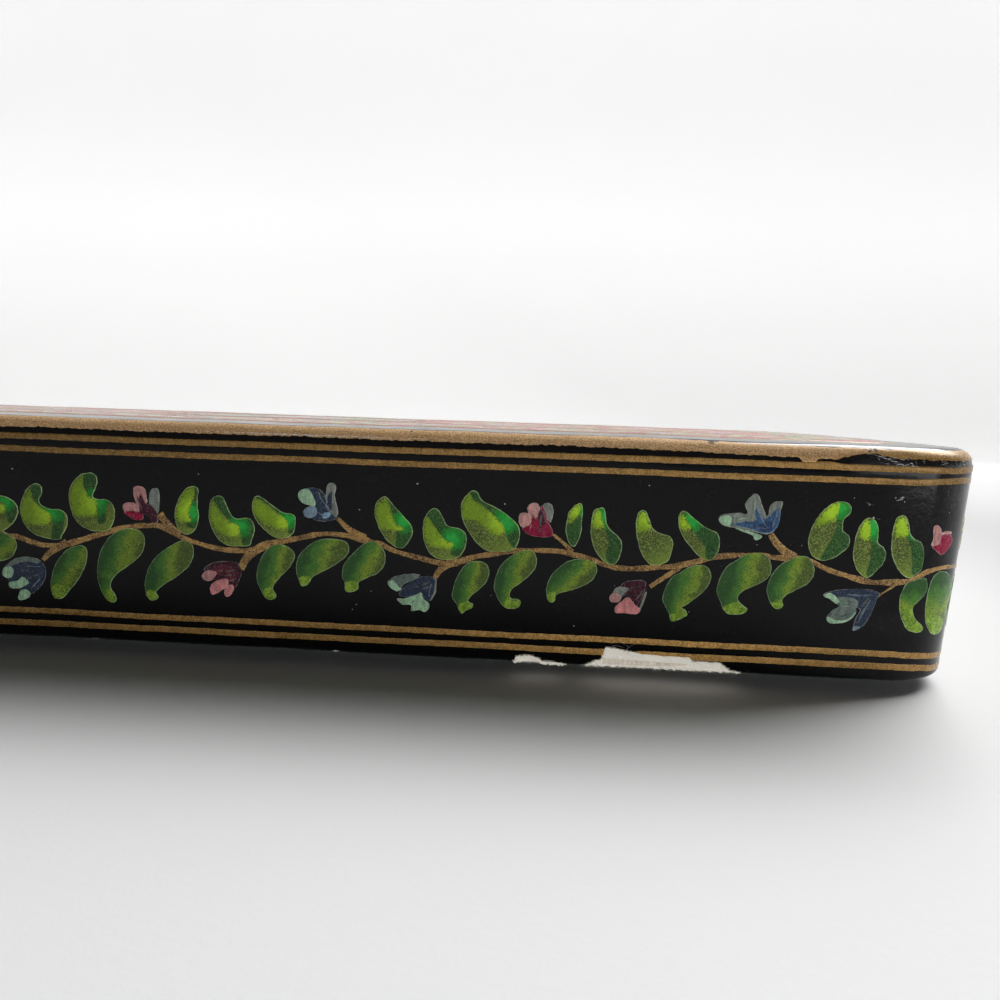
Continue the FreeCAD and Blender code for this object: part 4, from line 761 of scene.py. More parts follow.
def mat_stem():
    n = Nodes("stem_paint")
    nor, rough = varnish(n)
    grain = n.noise(5600, 2, 0.6)
    mott = n.noise(1500, 3, 0.6)
    c = n.mix(n.step(n.noise(520, 3, 0.6), 0.36, 0.62), paint(86, 68, 48), paint(128, 102, 62))
    c = n.mix(n.math("MULTIPLY", n.step(mott, 0.54, 0.40), 0.5), c, paint(58, 44, 34))
    c = n.mix(n.math("MULTIPLY", n.step(grain, 0.52, 0.62), 0.60), c, paint(154, 128, 88))
    c = n.mix(n.math("MULTIPLY", n.step(grain, 0.46, 0.36), 0.70), c, paint(48, 38, 30))
    e = n.step(n.attr("ed"), 0.10, 0.0)
    c = n.mix(n.math("MULTIPLY", n.math("MULTIPLY", e, n.step(mott, 0.42, 0.6)), 0.55), c, paint(148, 120, 76))
    nor = n.bump(grain, 0.00003, 0.6, nor)
    return n.finish(c, n.math("ADD", rough, 0.10), nor, metal=0.12, spec=SPEC)


def leaf_outline(n, c, tint, mid, share=0.75):
    """Thin pale line that the brush leaves at a leaf's rim."""
    e = n.step(n.attr("ed"), 0.15, 0.03)
    k = n.step(mid, 0.36, 0.60, 0.35, 1.0)
    return n.mix(n.math("MULTIPLY", n.math("MULTIPLY", e, k), share), c, tint)


def mat_leaf_up():
    n = Nodes("upper_leaf_paint")
    nor, rough = varnish(n)
    grain = n.noise(5600, 2, 0.65)
    mid = n.noise(1500, 3, 0.6)
    gr, rnd = n.attr("gr"), n.attr("rnd")
    olive = n.mix(n.step(grain, 0.44, 0.60), paint(56, 62, 38), paint(88, 102, 50))
    olive = n.mix(n.math("MULTIPLY", n.step(grain, 0.58, 0.68), 0.45), olive, paint(124, 134, 84))
    olive = n.mix(n.step(gr, 0.55, 1.0, 0.0, 0.45), olive, paint(106, 126, 52))
    # emerald round the fold beside the light patch, dark speckled teal away from it
    em = n.math("ADD", n.attr("em"), n.math("MULTIPLY", n.math("SUBTRACT", mid, 0.5), 0.75))
    green = n.mix(n.step(em, 0.34, 0.52), paint(42, 67, 37), paint(36, 104, 42))
    green = n.mix(n.step(em, 0.62, 0.95), green, paint(40, 134, 54))
    far = n.step(n.attr("em"), 0.75, 0.30, 0.25, 0.8)
    green = n.mix(n.math("MULTIPLY", n.step(grain, 0.54, 0.66), n.math("MULTIPLY", far, 0.7)), green, paint(80, 106, 66))
    green = n.mix(n.math("MULTIPLY", n.step(grain, 0.47, 0.38), far), green, paint(22, 42, 28))
    lime = n.mix(n.step(n.math("ADD", n.math("MULTIPLY", n.math("SUBTRACT", mid, 0.5), 0.9), n.math("MULTIPLY", n.attr("em"), 0.9)), -0.05, 0.75), paint(94, 117, 37), paint(129, 159, 42))
    lime = n.mix(n.math("MULTIPLY", n.step(grain, 0.49, 0.38), n.step(n.attr("em"), 0.9, 0.2, 0.15, 0.6)), lime, paint(64, 88, 38))
    zg = n.math("ADD", n.attr("zg"), n.math("MULTIPLY", n.math("SUBTRACT", grain, 0.5), 0.35))
    c = n.mix(n.step(zg, -0.07, 0.07), olive, green)
    hard = n.step(n.attr("zg"), -0.12, 0.05)
    zl = n.math("ADD", n.attr("zl"), n.math("MULTIPLY", n.math("MULTIPLY", n.math("SUBTRACT", grain, 0.5), 0.9), n.math("SUBTRACT", 1.0, hard)))
    soft = n.math("ADD", n.attr("zl"), n.math("MULTIPLY", n.math("SUBTRACT", grain, 0.5), 1.6))
    k = n.math("ADD", n.math("MULTIPLY", n.step(zl, -0.05, 0.06), hard), n.math("MULTIPLY", n.step(soft, -0.30, 0.34), n.math("SUBTRACT", 1.0, hard)), clamp=True)
    c = n.mix(k, c, lime)
    c = n.mix(n.math("MULTIPLY", n.math("SUBTRACT", rnd, 0.5), 0.16), c, (0.0, 0.0, 0.0, 1))
    c = painted_shade_left(n, c)
    c = leaf_outline(n, c, paint(142, 162, 116), mid, 0.85)
    nor = n.bump(grain, 0.00003, 0.5, nor)
    return n.finish(c, n.math("ADD", rough, 0.08), nor, spec=SPEC)


def mat_leaf_low():
    n = Nodes("lower_leaf_paint")
    nor, rough = varnish(n)
    grain = n.noise(5600, 2, 0.65)
    mid = n.noise(1500, 3, 0.6)
    fold = n.noise(700, 2, 0.5)
    gr = n.attr("gr")
    g2 = n.math("ADD", gr, n.math("MULTIPLY", n.math("SUBTRACT", fold, 0.5), 0.5))
    c = n.mix(n.step(g2, 0.16, 0.46), paint(40, 65, 38), paint(57, 91, 42))
    c = n.mix(n.step(g2, 0.42, 0.70), c, paint(94, 113, 42))
    c = n.mix(n.math("MULTIPLY", n.step(g2, 0.70, 0.94), 0.85), c, paint(56, 66, 38))
    tk = n.step(n.math("ADD", n.attr("tp"), n.math("MULTIPLY", n.math("SUBTRACT", grain, 0.5), 0.4)), -0.15, 0.12)
    c = n.mix(tk, c, n.mix(n.step(mid, 0.38, 0.62), paint(84, 110, 40), paint(110, 134, 50)))
    sp = n.step(gr, 0.2, 0.8, 0.35, 0.85)
    c = n.mix(n.math("MULTIPLY", n.step(grain, 0.48, 0.37), sp), c, paint(40, 56, 36))
    c = n.mix(n.math("MULTIPLY", n.step(grain, 0.56, 0.67), n.math("MULTIPLY", sp, 0.4)), c, paint(126, 142, 78))
    c = painted_shade_left(n, c)
    c = leaf_outline(n, c, paint(124, 146, 112), mid, 0.8)
    nor = n.bump(grain, 0.00003, 0.5, nor)
    return n.finish(c, n.math("ADD", rough, 0.08), nor, spec=SPEC)


def mat_flower():
    n = Nodes("flower_paint")
    nor, rough = varnish(n)
    grain = n.noise(5200, 2, 0.65)
    mid = n.noise(1300, 3, 0.6)
    base_c = n.attr("col", True)
    dark = n.mix(1.0, base_c, (0.42, 0.42, 0.46, 1), "MULTIPLY")
    c = n.mix(n.step(mid, 0.60, 0.36, 0.0, 0.40), base_c, dark)
    c = n.mix(n.math("MULTIPLY", n.step(grain, 0.46, 0.36), 0.55), c, dark)
    streak = n.noise(1700, 3, 0.6, stretch=(1.6, 1.0, 0.35))
    c = n.mix(n.step(streak, 0.54, 0.42, 0.0, 0.5), c, dark)
    c = n.mix(n.math("MULTIPLY", n.step(grain, 0.58, 0.68), 0.12), c, paint(176, 172, 164))
    e = n.step(n.attr("ed"), 0.12, 0.02)
    c = n.mix(n.math("MULTIPLY", n.math("MULTIPLY", e, n.step(mid, 0.38, 0.6, 0.2, 1.0)), 0.38), c, paint(170, 172, 164))
    nor = n.bump(mid, 0.00005, 0.5, nor)
    return n.finish(c, n.math("ADD", rough, 0.06), nor, spec=SPEC)


def mat_red():
    n = Nodes("red_field_paint")
    nor, rough = varnish(n)
    brush = n.noise(420, 4, 0.6, stretch=(0.25, 1.6, 1.0))
    grain = n.noise(4200, 2, 0.6)
    c = n.mix(n.step(brush, 0.34, 0.66), (0.30, 0.018, 0.022, 1), (0.42, 0.034, 0.034, 1))
    c = n.mix(n.math("MULTIPLY", n.step(grain, 0.46, 0.36), 0.35), c, (0.16, 0.010, 0.014, 1))
    wear = n.step(n.math("ADD", n.noise(160, 6, 0.7), n.attr("wear")), 0.70, 0.74)
    c = n.mix(wear, c, (0.006, 0.005, 0.005, 1))
    return n.finish(c, n.math("ADD", rough, 0.13), nor, spec=0.08)


def mat_paper(name, tone, layered=True):
    n = Nodes(name)
    a = n.noise(900, 6, 0.7, stretch=(1.0, 1.0, 2.5))
    fib = n.noise(2600, 5, 0.75, stretch=(0.35, 1.0, 1.6))
    lay = n.noise(60, 2, 0.5, stretch=(0.4, 0.4, 38.0))
    t = np.array(tone)
    c = n.mix(n.step(a, 0.35, 0.68), (*(t * 0.80), 1), (*np.minimum(t * 1.10, 0.92), 1))
    c = n.mix(n.math("MULTIPLY", n.step(fib, 0.60, 0.74), 0.45), c, (*(t * np.array([0.62, 0.58, 0.52])), 1))
    if layered:
        c = n.mix(n.math("MULTIPLY", n.step(lay, 0.50, 0.62), 0.35), c, (*(t * np.array([0.66, 0.62, 0.57])), 1))
    nor = n.bump(n.math("ADD", fib, n.math("MULTIPLY", lay, 0.6)), 0.0002, 0.9)
    return n.finish(c, 0.92, nor, spec=0.25)


def mat_torn():
    """Torn white paper and chalk ground in the knocks of the rim."""
    n = Nodes("torn_paper")
    fib = n.noise(3200, 5, 0.75, stretch=(1.0, 1.0, 0.35))
    a = n.noise(1100, 4, 0.65)
    k = n.attr("deep")
    light = n.mix(n.step(a, 0.36, 0.64), (0.90, 0.85, 0.75, 1), (0.96, 0.94, 0.87, 1))
    dim = n.mix(n.step(fib, 0.40, 0.62), (0.44, 0.38, 0.29, 1), (0.66, 0.59, 0.47, 1))
    # painted light: the torn paper glows a little, brighter than the lamps alone make it
    n.bsdf.inputs["Emission Color"].default_value = (1.0, 0.94, 0.82, 1)
    n.bsdf.inputs["Emission Strength"].default_value = 0.30
    c = n.mix(n.step(n.math("ADD", k, n.math("MULTIPLY", n.math("SUBTRACT", fib, 0.5), 0.5)), 0.3, 0.7), light, dim)
    nor = n.bump(fib, 0.00035, 1.0)
    return n.finish(c, 0.95, nor, spec=0.2)


def mat_lining():
    n = Nodes("black_lining_paper")
    fib = n.noise(1800, 5, 0.7, stretch=(0.4, 0.7, 1.0))
    a = n.noise(70, 4, 0.6)
    rub = n.step(n.noise(200, 5, 0.7), 0.60, 0.74)
    c = n.mix(n.step(fib, 0.38, 0.66), (0.010, 0.009, 0.010, 1), (0.024, 0.022, 0.022, 1))
    c = n.mix(n.math("MULTIPLY", rub, 0.35), c, (0.055, 0.048, 0.044, 1))
    nor = n.bump(n.math("ADD", fib, n.math("MULTIPLY", a, 0.5)), 0.00018, 0.8)
    return n.finish(c, n.lerp(a, 0.3, 0.7, 0.52, 0.72), nor, spec=0.35)


def mat_tray_lacquer():
    n = Nodes("tray_lacquer")
    nor, rough = varnish(n)
    rub = n.step(n.noise(500, 5, 0.7, stretch=(1.0, 1.0, 0.18)), 0.56, 0.70)
    c = n.mix(n.math("MULTIPLY", rub, 0.5), (0.0035, 0.0035, 0.0038, 1), (0.014, 0.013, 0.013, 1))
    return n.finish(c, n.math("ADD", rough, n.math("MULTIPLY", rub, 0.16)), nor, spec=SPEC)


def mat_felt():
    n = Nodes("green_felt")
    fib = n.noise(2400, 6, 0.8)
    mid = n.noise(260, 4, 0.6)
    c = n.mix(n.step(fib, 0.36, 0.66), (0.010, 0.042, 0.018, 1), (0.034, 0.110, 0.052, 1))
    c = n.mix(n.step(mid, 0.42, 0.70, 0.0, 0.5), c, (0.018, 0.060, 0.032, 1))
    nor = n.bump(fib, 0.0004, 1.0)
    return n.finish(c, 0.96, nor, spec=0.15, Sheen_Weight=0.35, Sheen_Roughness=0.5)


def mat_speck():
    n = Nodes("dust_specks")
    c = n.mix(n.step(n.noise(3000, 2, 0.5), 0.4, 0.6), (0.16, 0.16, 0.16, 1), (0.75, 0.75, 0.74, 1))
    return n.finish(c, 0.8, None, spec=0.2)


def mat_fibre():
    n = Nodes("paper_fibres")
    c = n.mix(n.step(n.noise(2000, 2, 0.5), 0.4, 0.6), (0.72, 0.68, 0.60, 1), (0.92, 0.90, 0.84, 1))
    return n.finish(c, 0.9, None, spec=0.2)


M = {
    "lacquer": mat_lacquer(), "gold": mat_gold(), "stem": mat_stem(), "up": mat_leaf_up(), "low": mat_leaf_low(),
    "flower": mat_flower(), "red": mat_red(), "torn": mat_torn(), "speck": mat_speck(), "fibre": mat_fibre(),
    "felt": mat_felt(), "lining": mat_lining(), "tray": mat_tray_lacquer(),
    "paper": mat_paper("paper_core", (0.70, 0.66, 0.57)), "board": mat_paper("paper_board", (0.66, 0.61, 0.52)),
}

# ---- lid skin -----------------------------------------------------------------
CHIPS = [
    [(48.6, -0.42), (49.0, -0.12), (49.5, 0.02), (49.98, 0.36), (50.5, 0.52), (50.9, 0.84), (51.5, 0.88), (51.66, 1.55), (51.86, 2.22), (52.15, 2.62), (52.7, 2.50), (53.6, 2.46), (54.6, 2.24),
     (55.8, 2.12), (56.8, 1.92), (58.2, 1.96), (59.4, 1.80), (60.8, 1.88), (62.0, 1.76), (62.75, 1.86), (63.05, 1.66), (63.2, 1.22), (64.4, 1.34), (65.6, 1.22), (66.5, 1.30), (67.0, 1.02),
     (67.5, 0.62), (68.2, 0.22), (68.9, 0.16), (69.5, -0.10), (69.3, -0.5), (66.0, -0.8), (62.0, -0.95), (57.0, -1.0), (53.0, -0.9), (50.2, -0.75)],
    [(39.9, -0.42), (40.15, 0.05), (40.4, 0.5), (40.75, 0.84), (41.3, 0.82), (41.8, 0.96), (42.5, 0.92), (43.1, 0.72), (43.5, 0.60), (43.9, 0.26), (45.0, 0.24), (46.05, 0.14), (46.9, -0.05), (47.5, -0.3),
     (46.4, -0.6), (44.0, -0.75), (41.6, -0.7)],
    [(16.1, -0.12), (16.3, 0.16), (16.75, 0.14), (16.9, -0.1), (16.6, -0.28), (16.25, -0.26)],
    [(-16.8, -0.2), (-16.6, 0.02), (-16.2, 0.0), (-16.05, -0.2), (-16.4, -0.34)],
]


def chip_loop(k, shrink=0.0):
    """Ragged outline of a knock."""
    rng = np.random.default_rng(70 + k)
    o = smooth_loop(CHIPS[k], 0.13, 0.22)
    nxt, prv = np.roll(o, -1, 0), np.roll(o, 1, 0)
    tan = nxt - prv
    tan /= np.maximum(np.sqrt((tan ** 2).sum(1)), 1e-9)[:, None]
    inn = np.stack([-tan[:, 1], tan[:, 0]], 1)
    jag = wobble(np.arange(len(o)) * 0.13, rng, 0.13, 0.045, 0.35, 1.4) + rng.uniform(-0.022, 0.022, len(o))
    return o + inn * (jag + shrink)[:, None]


def columns():
    out = list(np.linspace(-SX, SX, 177)[:-1])
    s = SX
    for span, n in ((QA, 30), (2 * SY, 50), (QA, 30), (2 * SX, 130), (QA, 26), (2 * SY, 44), (QA, 26)):
        out += list(s + np.linspace(0, span, n + 1)[:-1])
        s += span
    return np.array(out)


CS = columns()
T12 = T_OF_INSET + 12.0
CT = np.concatenate([[T_RIM, T_RIM + 1.1, T_RIM + 2.1], np.linspace(PT[1], PT[9], 6), [0.75, 1.5, 2.4, 3.4],
                     np.arange(4.6, 28.4, 1.2), np.linspace(28.6, 32.9, 13), np.linspace(33.7, T12, 9)])
NC, NR = len(CS), len(CT)


def build_skin():
    S, T = np.meshgrid(CS, CT)
    outer = wall(S, T).reshape(-1, 3)
    inner = wall(S, T, -COAT).reshape(-1, 3)
    n = len(outer)
    quads = grid_faces(NR, NC, wrap=True)
    r, c = quads[:, 0] // NC, quads[:, 0] % NC
    wins = [(38.4, 71.6, 3.4), (14.0, 19.2, 1.5), (-19.0, -13.8, 1.5)]
    keep = np.ones(len(quads), bool)
    spans = []
    for a, b, tt in wins:
        ca, cb = int(np.argmin(abs(CS - a))), int(np.argmin(abs(CS - b)))
        rt = int(np.argmin(abs(CT - tt)))
        keep &= ~((c >= ca) & (c < cb) & (r < rt))
        spans.append((ca, cb, rt))
    quads = quads[keep]
    V, tri = [outer, inner], []
    Q = [quads, quads[:, ::-1] + n]
    # turned edge under the rim
    k = np.arange(NC)
    k2 = (k + 1) % NC
    Q.append(np.stack([k, k + n, k2 + n, k2], 1))
    nv = 2 * n
    bare = [np.zeros(n), np.ones(n)]
    ST = [np.stack([S.ravel(), T.ravel()], 1)] * 2
    for w, (ca, cb, rt) in enumerate(spans):
        border = [(CS[i], CT[0]) for i in range(ca, cb)] + [(CS[cb], CT[j]) for j in range(rt)]
        border += [(CS[i], CT[rt]) for i in range(cb, ca, -1)] + [(CS[ca], CT[j]) for j in range(rt, 0, -1)]
        border = np.array(border)
        loops = [chip_loop(q) for q in ((0, 1), (2,), (3,))[w]]
        fill = []
        rng = np.random.default_rng(5 + w)
        gx = np.arange(CS[ca] + 0.3, CS[cb], 0.45)
        gy = np.arange(CT[0] + 0.3, CT[rt], 0.32)
        P = np.stack([g.ravel() for g in np.meshgrid(gx, gy)], 1) + rng.uniform(-0.08, 0.08, (len(gx) * len(gy), 2))
        ok = sdist(P, border) > 0.12
        for lo in loops:
            ok &= sdist(P, lo) < -0.14
        P = P[ok]
        pts = np.concatenate([border] + loops + [P])
        edges, st = [], 0
        for lo in [border] + loops:
            m = len(lo)
            edges += [(st + i, st + (i + 1) % m) for i in range(m)]
            st += m
        res = delaunay_2d_cdt([Vector(p) for p in pts.tolist()], edges, [], 1, 1e-7)
        vo = np.array([tuple(p) for p in res[0]], float)
        fo = np.array([f for f in res[2] if len(f) == 3], np.int64)
        cen = vo[fo].mean(1)
        good = np.ones(len(fo), bool)
        for lo in loops:
            good &= sdist(cen, lo) < 0
        fo = fo[good]
        near = np.full(len(vo), 9.0)
        for lo in loops:
            near = np.minimum(near, np.abs(sdist(vo, lo)))
        # the inner face of the coat stops a little short, so the knock's edge slopes
        vin = vo.copy()
        for lo in loops:
            d = sdist(vo, lo)
            pull = np.where(np.abs(d) < 1e-4, 1.0, 0.0)
            g = lo.mean(0) - vo
            g /= np.maximum(np.sqrt((g ** 2).sum(1)), 1e-6)[:, None]
            vin = vin + g * (0.07 * pull)[:, None]
        m = len(vo)
        V += [wall(vo[:, 0], vo[:, 1]), wall(vin[:, 0], vin[:, 1], -COAT)]
        tri += [fo + nv, fo[:, ::-1] + nv + m]
        bare += [np.where(near < 1e-4, 1.0, np.where(near < 0.16, 0.12, 0.0)), np.ones(m)]
        ST += [vo, vo]
        # walls of the knock
        for lo in loops:
            idx = [int(np.argmin(((vo - p) ** 2).sum(1))) for p in lo]
            idx = np.array(idx)
            i2 = np.roll(idx, -1)
            Q.append(np.stack([nv + idx, nv + i2, nv + m + i2, nv + m + idx], 1))
        nv += 2 * m
    # crowned top plate inside the last ring
    ring = (NR - 1) * NC + np.arange(NC)
    rp = outer[ring][:, :2]
    rng = np.random.default_rng(3)
    gx, gy = np.arange(-90, 90, 1.9), np.arange(-29, 29, 1.65)
    X, Y = np.meshgrid(gx, gy)
    X = X + (np.arange(len(gy)) % 2)[:, None] * 0.95
    P = np.stack([X.ravel(), Y.ravel()], 1)
    P = P[edge_inset(P[:, 0], P[:, 1]) > 13.0]
    res = delaunay_2d_cdt([Vector(p) for p in np.concatenate([rp, P]).tolist()], [(i, (i + 1) % NC) for i in range(NC)], [], 1, 1e-7)
    vo = np.array([tuple(p) for p in res[0]], float)
    fo = np.array([f for f in res[2] if len(f) == 3], np.int64)
    up = top(vo[:, 0], vo[:, 1])
    d = np.sqrt(((vo[:, None, :] - rp[None]) ** 2).sum(-1))
    j, dj = d.argmin(1), d.min(1)
    on = dj < 1e-4
    up[on] = outer[ring][j[on]]
    dn = up - np.array([0, 0, COAT])
    dn[on] = inner[ring][j[on]]
    m = len(vo)
    V += [up, dn]
    tri += [fo + nv, fo[:, ::-1] + nv + m]
    bare += [np.zeros(m), np.zeros(m)]
    ST += [np.full((m, 2), (300.0, 60.0))] * 2
    V, B, ST = np.concatenate(V), np.concatenate(bare), np.concatenate(ST)
    B[n:2 * n] = 0.0
    rub = 0.9 * np.exp(-((ST[:, 0] - 84.6) / 4.2) ** 4) * np.exp(-((ST[:, 1] - 28.5) / 0.9) ** 4)
    rub += 0.5 * np.exp(-((ST[:, 0] - 93.5) / 4.5) ** 4) * np.exp(-((ST[:, 1] - 28.2) / 0.8) ** 4)
    rub += 0.12 * np.exp(-((ST[:, 0] - 91.0) / 6.0) ** 4) * np.exp(-((ST[:, 1] - 21.5) / 5.5) ** 4)
    rub += 0.30 * np.exp(-((ST[:, 0] - 95.0) / 2.4) ** 4) * np.exp(-((ST[:, 1] - 24.3) / 1.9) ** 4)
    rub += 0.16 * np.exp(-((ST[:, 0] - 95.5) / 2.0) ** 4) * np.exp(-((ST[:, 1] - 18.0) / 2.6) ** 4)
    rub += 0.12 * np.exp(-((ST[:, 0] - 87.5) / 2.6) ** 4) * np.exp(-((ST[:, 1] - 7.8) / 1.2) ** 4)
    # painted reflection: a grey band along the rounded lower edge of the rim
    rub += 0.42 * np.exp(-((ST[:, 1] + 0.35) / 0.55) ** 4)
    ob = make("lid_lacquer_skin", V, [np.concatenate(tri), np.concatenate(Q)], M["lacquer"], {"bare": B, "rub": np.clip(rub, 0, 1)})
    import bmesh
    bm = bmesh.new()
    bm.from_mesh(ob.data)
    bmesh.ops.remove_doubles(bm, verts=bm.verts, dist=1.5e-6)
    bmesh.ops.recalc_face_normals(bm, faces=bm.faces)
    open_edges = sum(1 for e in bm.edges if len(e.link_faces) != 2)
    bm.to_mesh(ob.data)
    bm.free()
    print("skin", len(ob.data.vertices), "open edges", open_edges)
    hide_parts("lid_coat")
    return ob


build_skin()


# ---- torn paper in the knocks -------------------------------------------------
def strand(heap, line, r0, r1):
    """Thin fibre along a line of points, closed at both ends."""
    n = len(line)
    tan = np.gradient(line, axis=0)
    tan /= np.maximum(np.sqrt((tan ** 2).sum(1)), 1e-9)[:, None]
    ref = np.where(np.abs(tan[:, :1]) < 0.8, np.array([[1.0, 0, 0]]), np.array([[0, 1.0, 0]]))
    e1 = np.cross(tan, ref)
    e1 /= np.sqrt((e1 ** 2).sum(1))[:, None]
    e2 = np.cross(tan, e1)
    ring = []
    for j in range(n):
        r = r0 + (r1 - r0) * j / (n - 1)
        for a in (0.0, 2.094, 4.189):
            ring.append(line[j] + r * (math.cos(a) * e1[j] + math.sin(a) * e2[j]))
    F = grid_faces(n, 3, wrap=True)
    tri = np.concatenate([F[:, [0, 1, 2]], F[:, [0, 2, 3]], [[2, 1, 0]], [[(n - 1) * 3, (n - 1) * 3 + 1, (n - 1) * 3 + 2]]])
    heap.add(np.array(ring), tri)


LIP = ([49.0, 51.5, 51.7, 52.1, 54.6, 56.8, 59.4, 62.75, 63.2, 66.5, 69.4], [-0.1, 0.88, 1.7, 2.55, 2.24, 1.93, 1.82, 1.80, 1.26, 1.24, 0.0])


def build_torn():
    h = Heap()
    for k in (0, 1, 2, 3):
        small = k > 1
        lo = chip_loop(k, -0.20 if not small else -0.05)
        vo, fo, d, o = patch(lo, step=0.13, ring=0.06, seed=90 + k, tremble=0.0, smooth=False)
        ref = chip_loop(k)
        dd = sdist(vo, ref)
        s, t = vo[:, 0], vo[:, 1]
        rng = np.random.default_rng(33 + k)
        rough = sum(np.sin(rng.uniform(2, 16) * s + rng.uniform(2, 16) * t + rng.uniform(0, 6.3)) for _ in range(12)) / 12 * 2.2
        off = -0.34 + 0.05 * rough
        deep = np.zeros(len(s))
        if k == 0:
            on = np.clip((s - 51.55) / 0.2, 0, 1)
            up = np.interp(s, [51.5, 54.0, 57.0, 62.0, 63.6, 66.0], [1.14, 1.08, 1.00, 0.90, 0.80, 0.55])
            dn = np.interp(s, [51.5, 57.0, 60.0, 62.0, 63.6, 66.0], [0.14, 0.12, 0.34, 0.56, 0.80, 0.55])
            sm = lambda x: np.clip(x, 0, 1) ** 2 * (3 - 2 * np.clip(x, 0, 1))
            # broad rolled lip above, long hollow with upright fibres, fluffy band below
            hollow = sm((up - t) / 0.16 + 0.5) * sm((t - dn) / 0.16 + 0.5) * on * np.clip((63.6 - s) / 1.2, 0, 1)
            full = 0.36 + 0.10 * np.exp(-((t - up - 0.22) / 0.22) ** 2) * on + 0.022 * rough
            off = off + full * (1 - hollow) - 0.02 * hollow + 0.035 * hollow * np.sin(17.0 * s + 2.0 * np.sin(3.0 * s))
            deep = hollow * 0.95
            low = np.exp(-((t + 0.02) / 0.36) ** 2)
            off = off + 0.08 * low * rough
            fold = np.exp(-(((t - 0.40 - 0.05 * (s - 64.0)) / 0.07) ** 2)) * np.clip((s - 64.0) / 1, 0, 1) * np.clip((68.0 - s) / 1, 0, 1)
            off = off - 0.12 * fold
            deep = np.maximum(deep, 0.45 * fold)
        elif k == 1:
            off = off + 0.34 * np.exp(-((dd - 0.24) / 0.2) ** 2) * (1 + 0.3 * rough) + 0.26 * np.exp(-((t + 0.1) / 0.3) ** 2)
            deep = 0.25 * np.exp(-((s - 44.5) / 1.2) ** 2)
        else:
            off = off + 0.34
        off = np.where(dd < 0.02, np.minimum(off, -0.22), off)
        off = np.where(d < 1e-4, -0.44, off)
        h.add(wall(s, t, off), fo, deep=deep, ed=d)
    h.make("torn_paper_at_rim", M["torn"], slot="lid_paper_wall")
    # loose fibres: a short fringe along the lower edge, a few long ones, curls at the lip
    f = Heap()
    rng = np.random.default_rng(12)
    jobs = [(rng.uniform(49.0, 69.0), rng.uniform(0.12, 0.42), rng.uniform(-0.5, 0.5)) for _ in range(300)]
    jobs += [(rng.uniform(40.2, 47.2), rng.uniform(0.12, 0.36), rng.uniform(-0.5, 0.5)) for _ in range(90)]
    jobs += [(44.6, 1.25, -0.12), (51.1, 1.45, 0.06), (42.0, 0.6, 0.1), (55.2, 0.62, -0.2), (58.6, 0.55, 0.3)]
    for s0, ln, leanx in jobs:
        q = np.linspace(0, 1, 5 if ln < 0.5 else 9)
        t0 = -0.10 + rng.uniform(-0.22, 0.14)
        P0 = wall(s0, t0, 0.02)
        bend = rng.uniform(-0.35, 0.35)
        out = rng.uniform(0.05, 0.40)
        line = P0 + np.stack([ln * (leanx * q + bend * q * q), -ln * out * q - 0.02, -ln * 0.9 * q + 0.12 * ln * q * q], 1)
        line[:, 2] = np.maximum(line[:, 2], 0.45)
        strand(f, line, rng.uniform(0.016, 0.030) if ln < 0.5 else 0.018, 0.009)
    for _ in range(90):
        s0 = rng.uniform(51.6, 67.0)
        t0 = np.interp(s0, *LIP) - rng.uniform(0.05, 0.7)
        ln = rng.uniform(0.2, 0.9)
        q = np.linspace(0, 1, 5)
        ds, dt = ln * (q * rng.uniform(-1, 1)), ln * (q * rng.uniform(-0.5, 0.45))
        strand(f, wall(s0 + ds, np.clip(t0 + dt, -0.3, 3), 0.02 + 0.07 * np.sin(q * 3.0)), 0.014, 0.008)
    for _ in range(120):
        s0 = rng.uniform(51.8, 63.0)
        top_t = np.interp(s0, *LIP) - 0.55
        q = np.linspace(0, 1, 4)
        strand(f, wall(s0 + rng.uniform(-0.1, 0.1) * q, np.interp(q, [0, 1], [top_t, max(top_t - rng.uniform(0.4, 1.1), 0.25)]), -0.33 + 0.05 * q), 0.018, 0.010)
    for pts in ([(54.6, 2.45), (55.2, 3.0), (55.9, 3.35)], [(54.9, 2.9), (54.3, 3.25), (54.0, 3.7)], [(52.4, 2.6), (53.2, 2.95), (54.4, 2.75)]):
        ln = smooth_line(pts, 0.12)
        strand(f, wall(ln[:, 0], ln[:, 1], 0.07), 0.014, 0.008)
    f.make("torn_paper_fibres", M["fibre"], slot="lid_paper_wall")


build_torn()


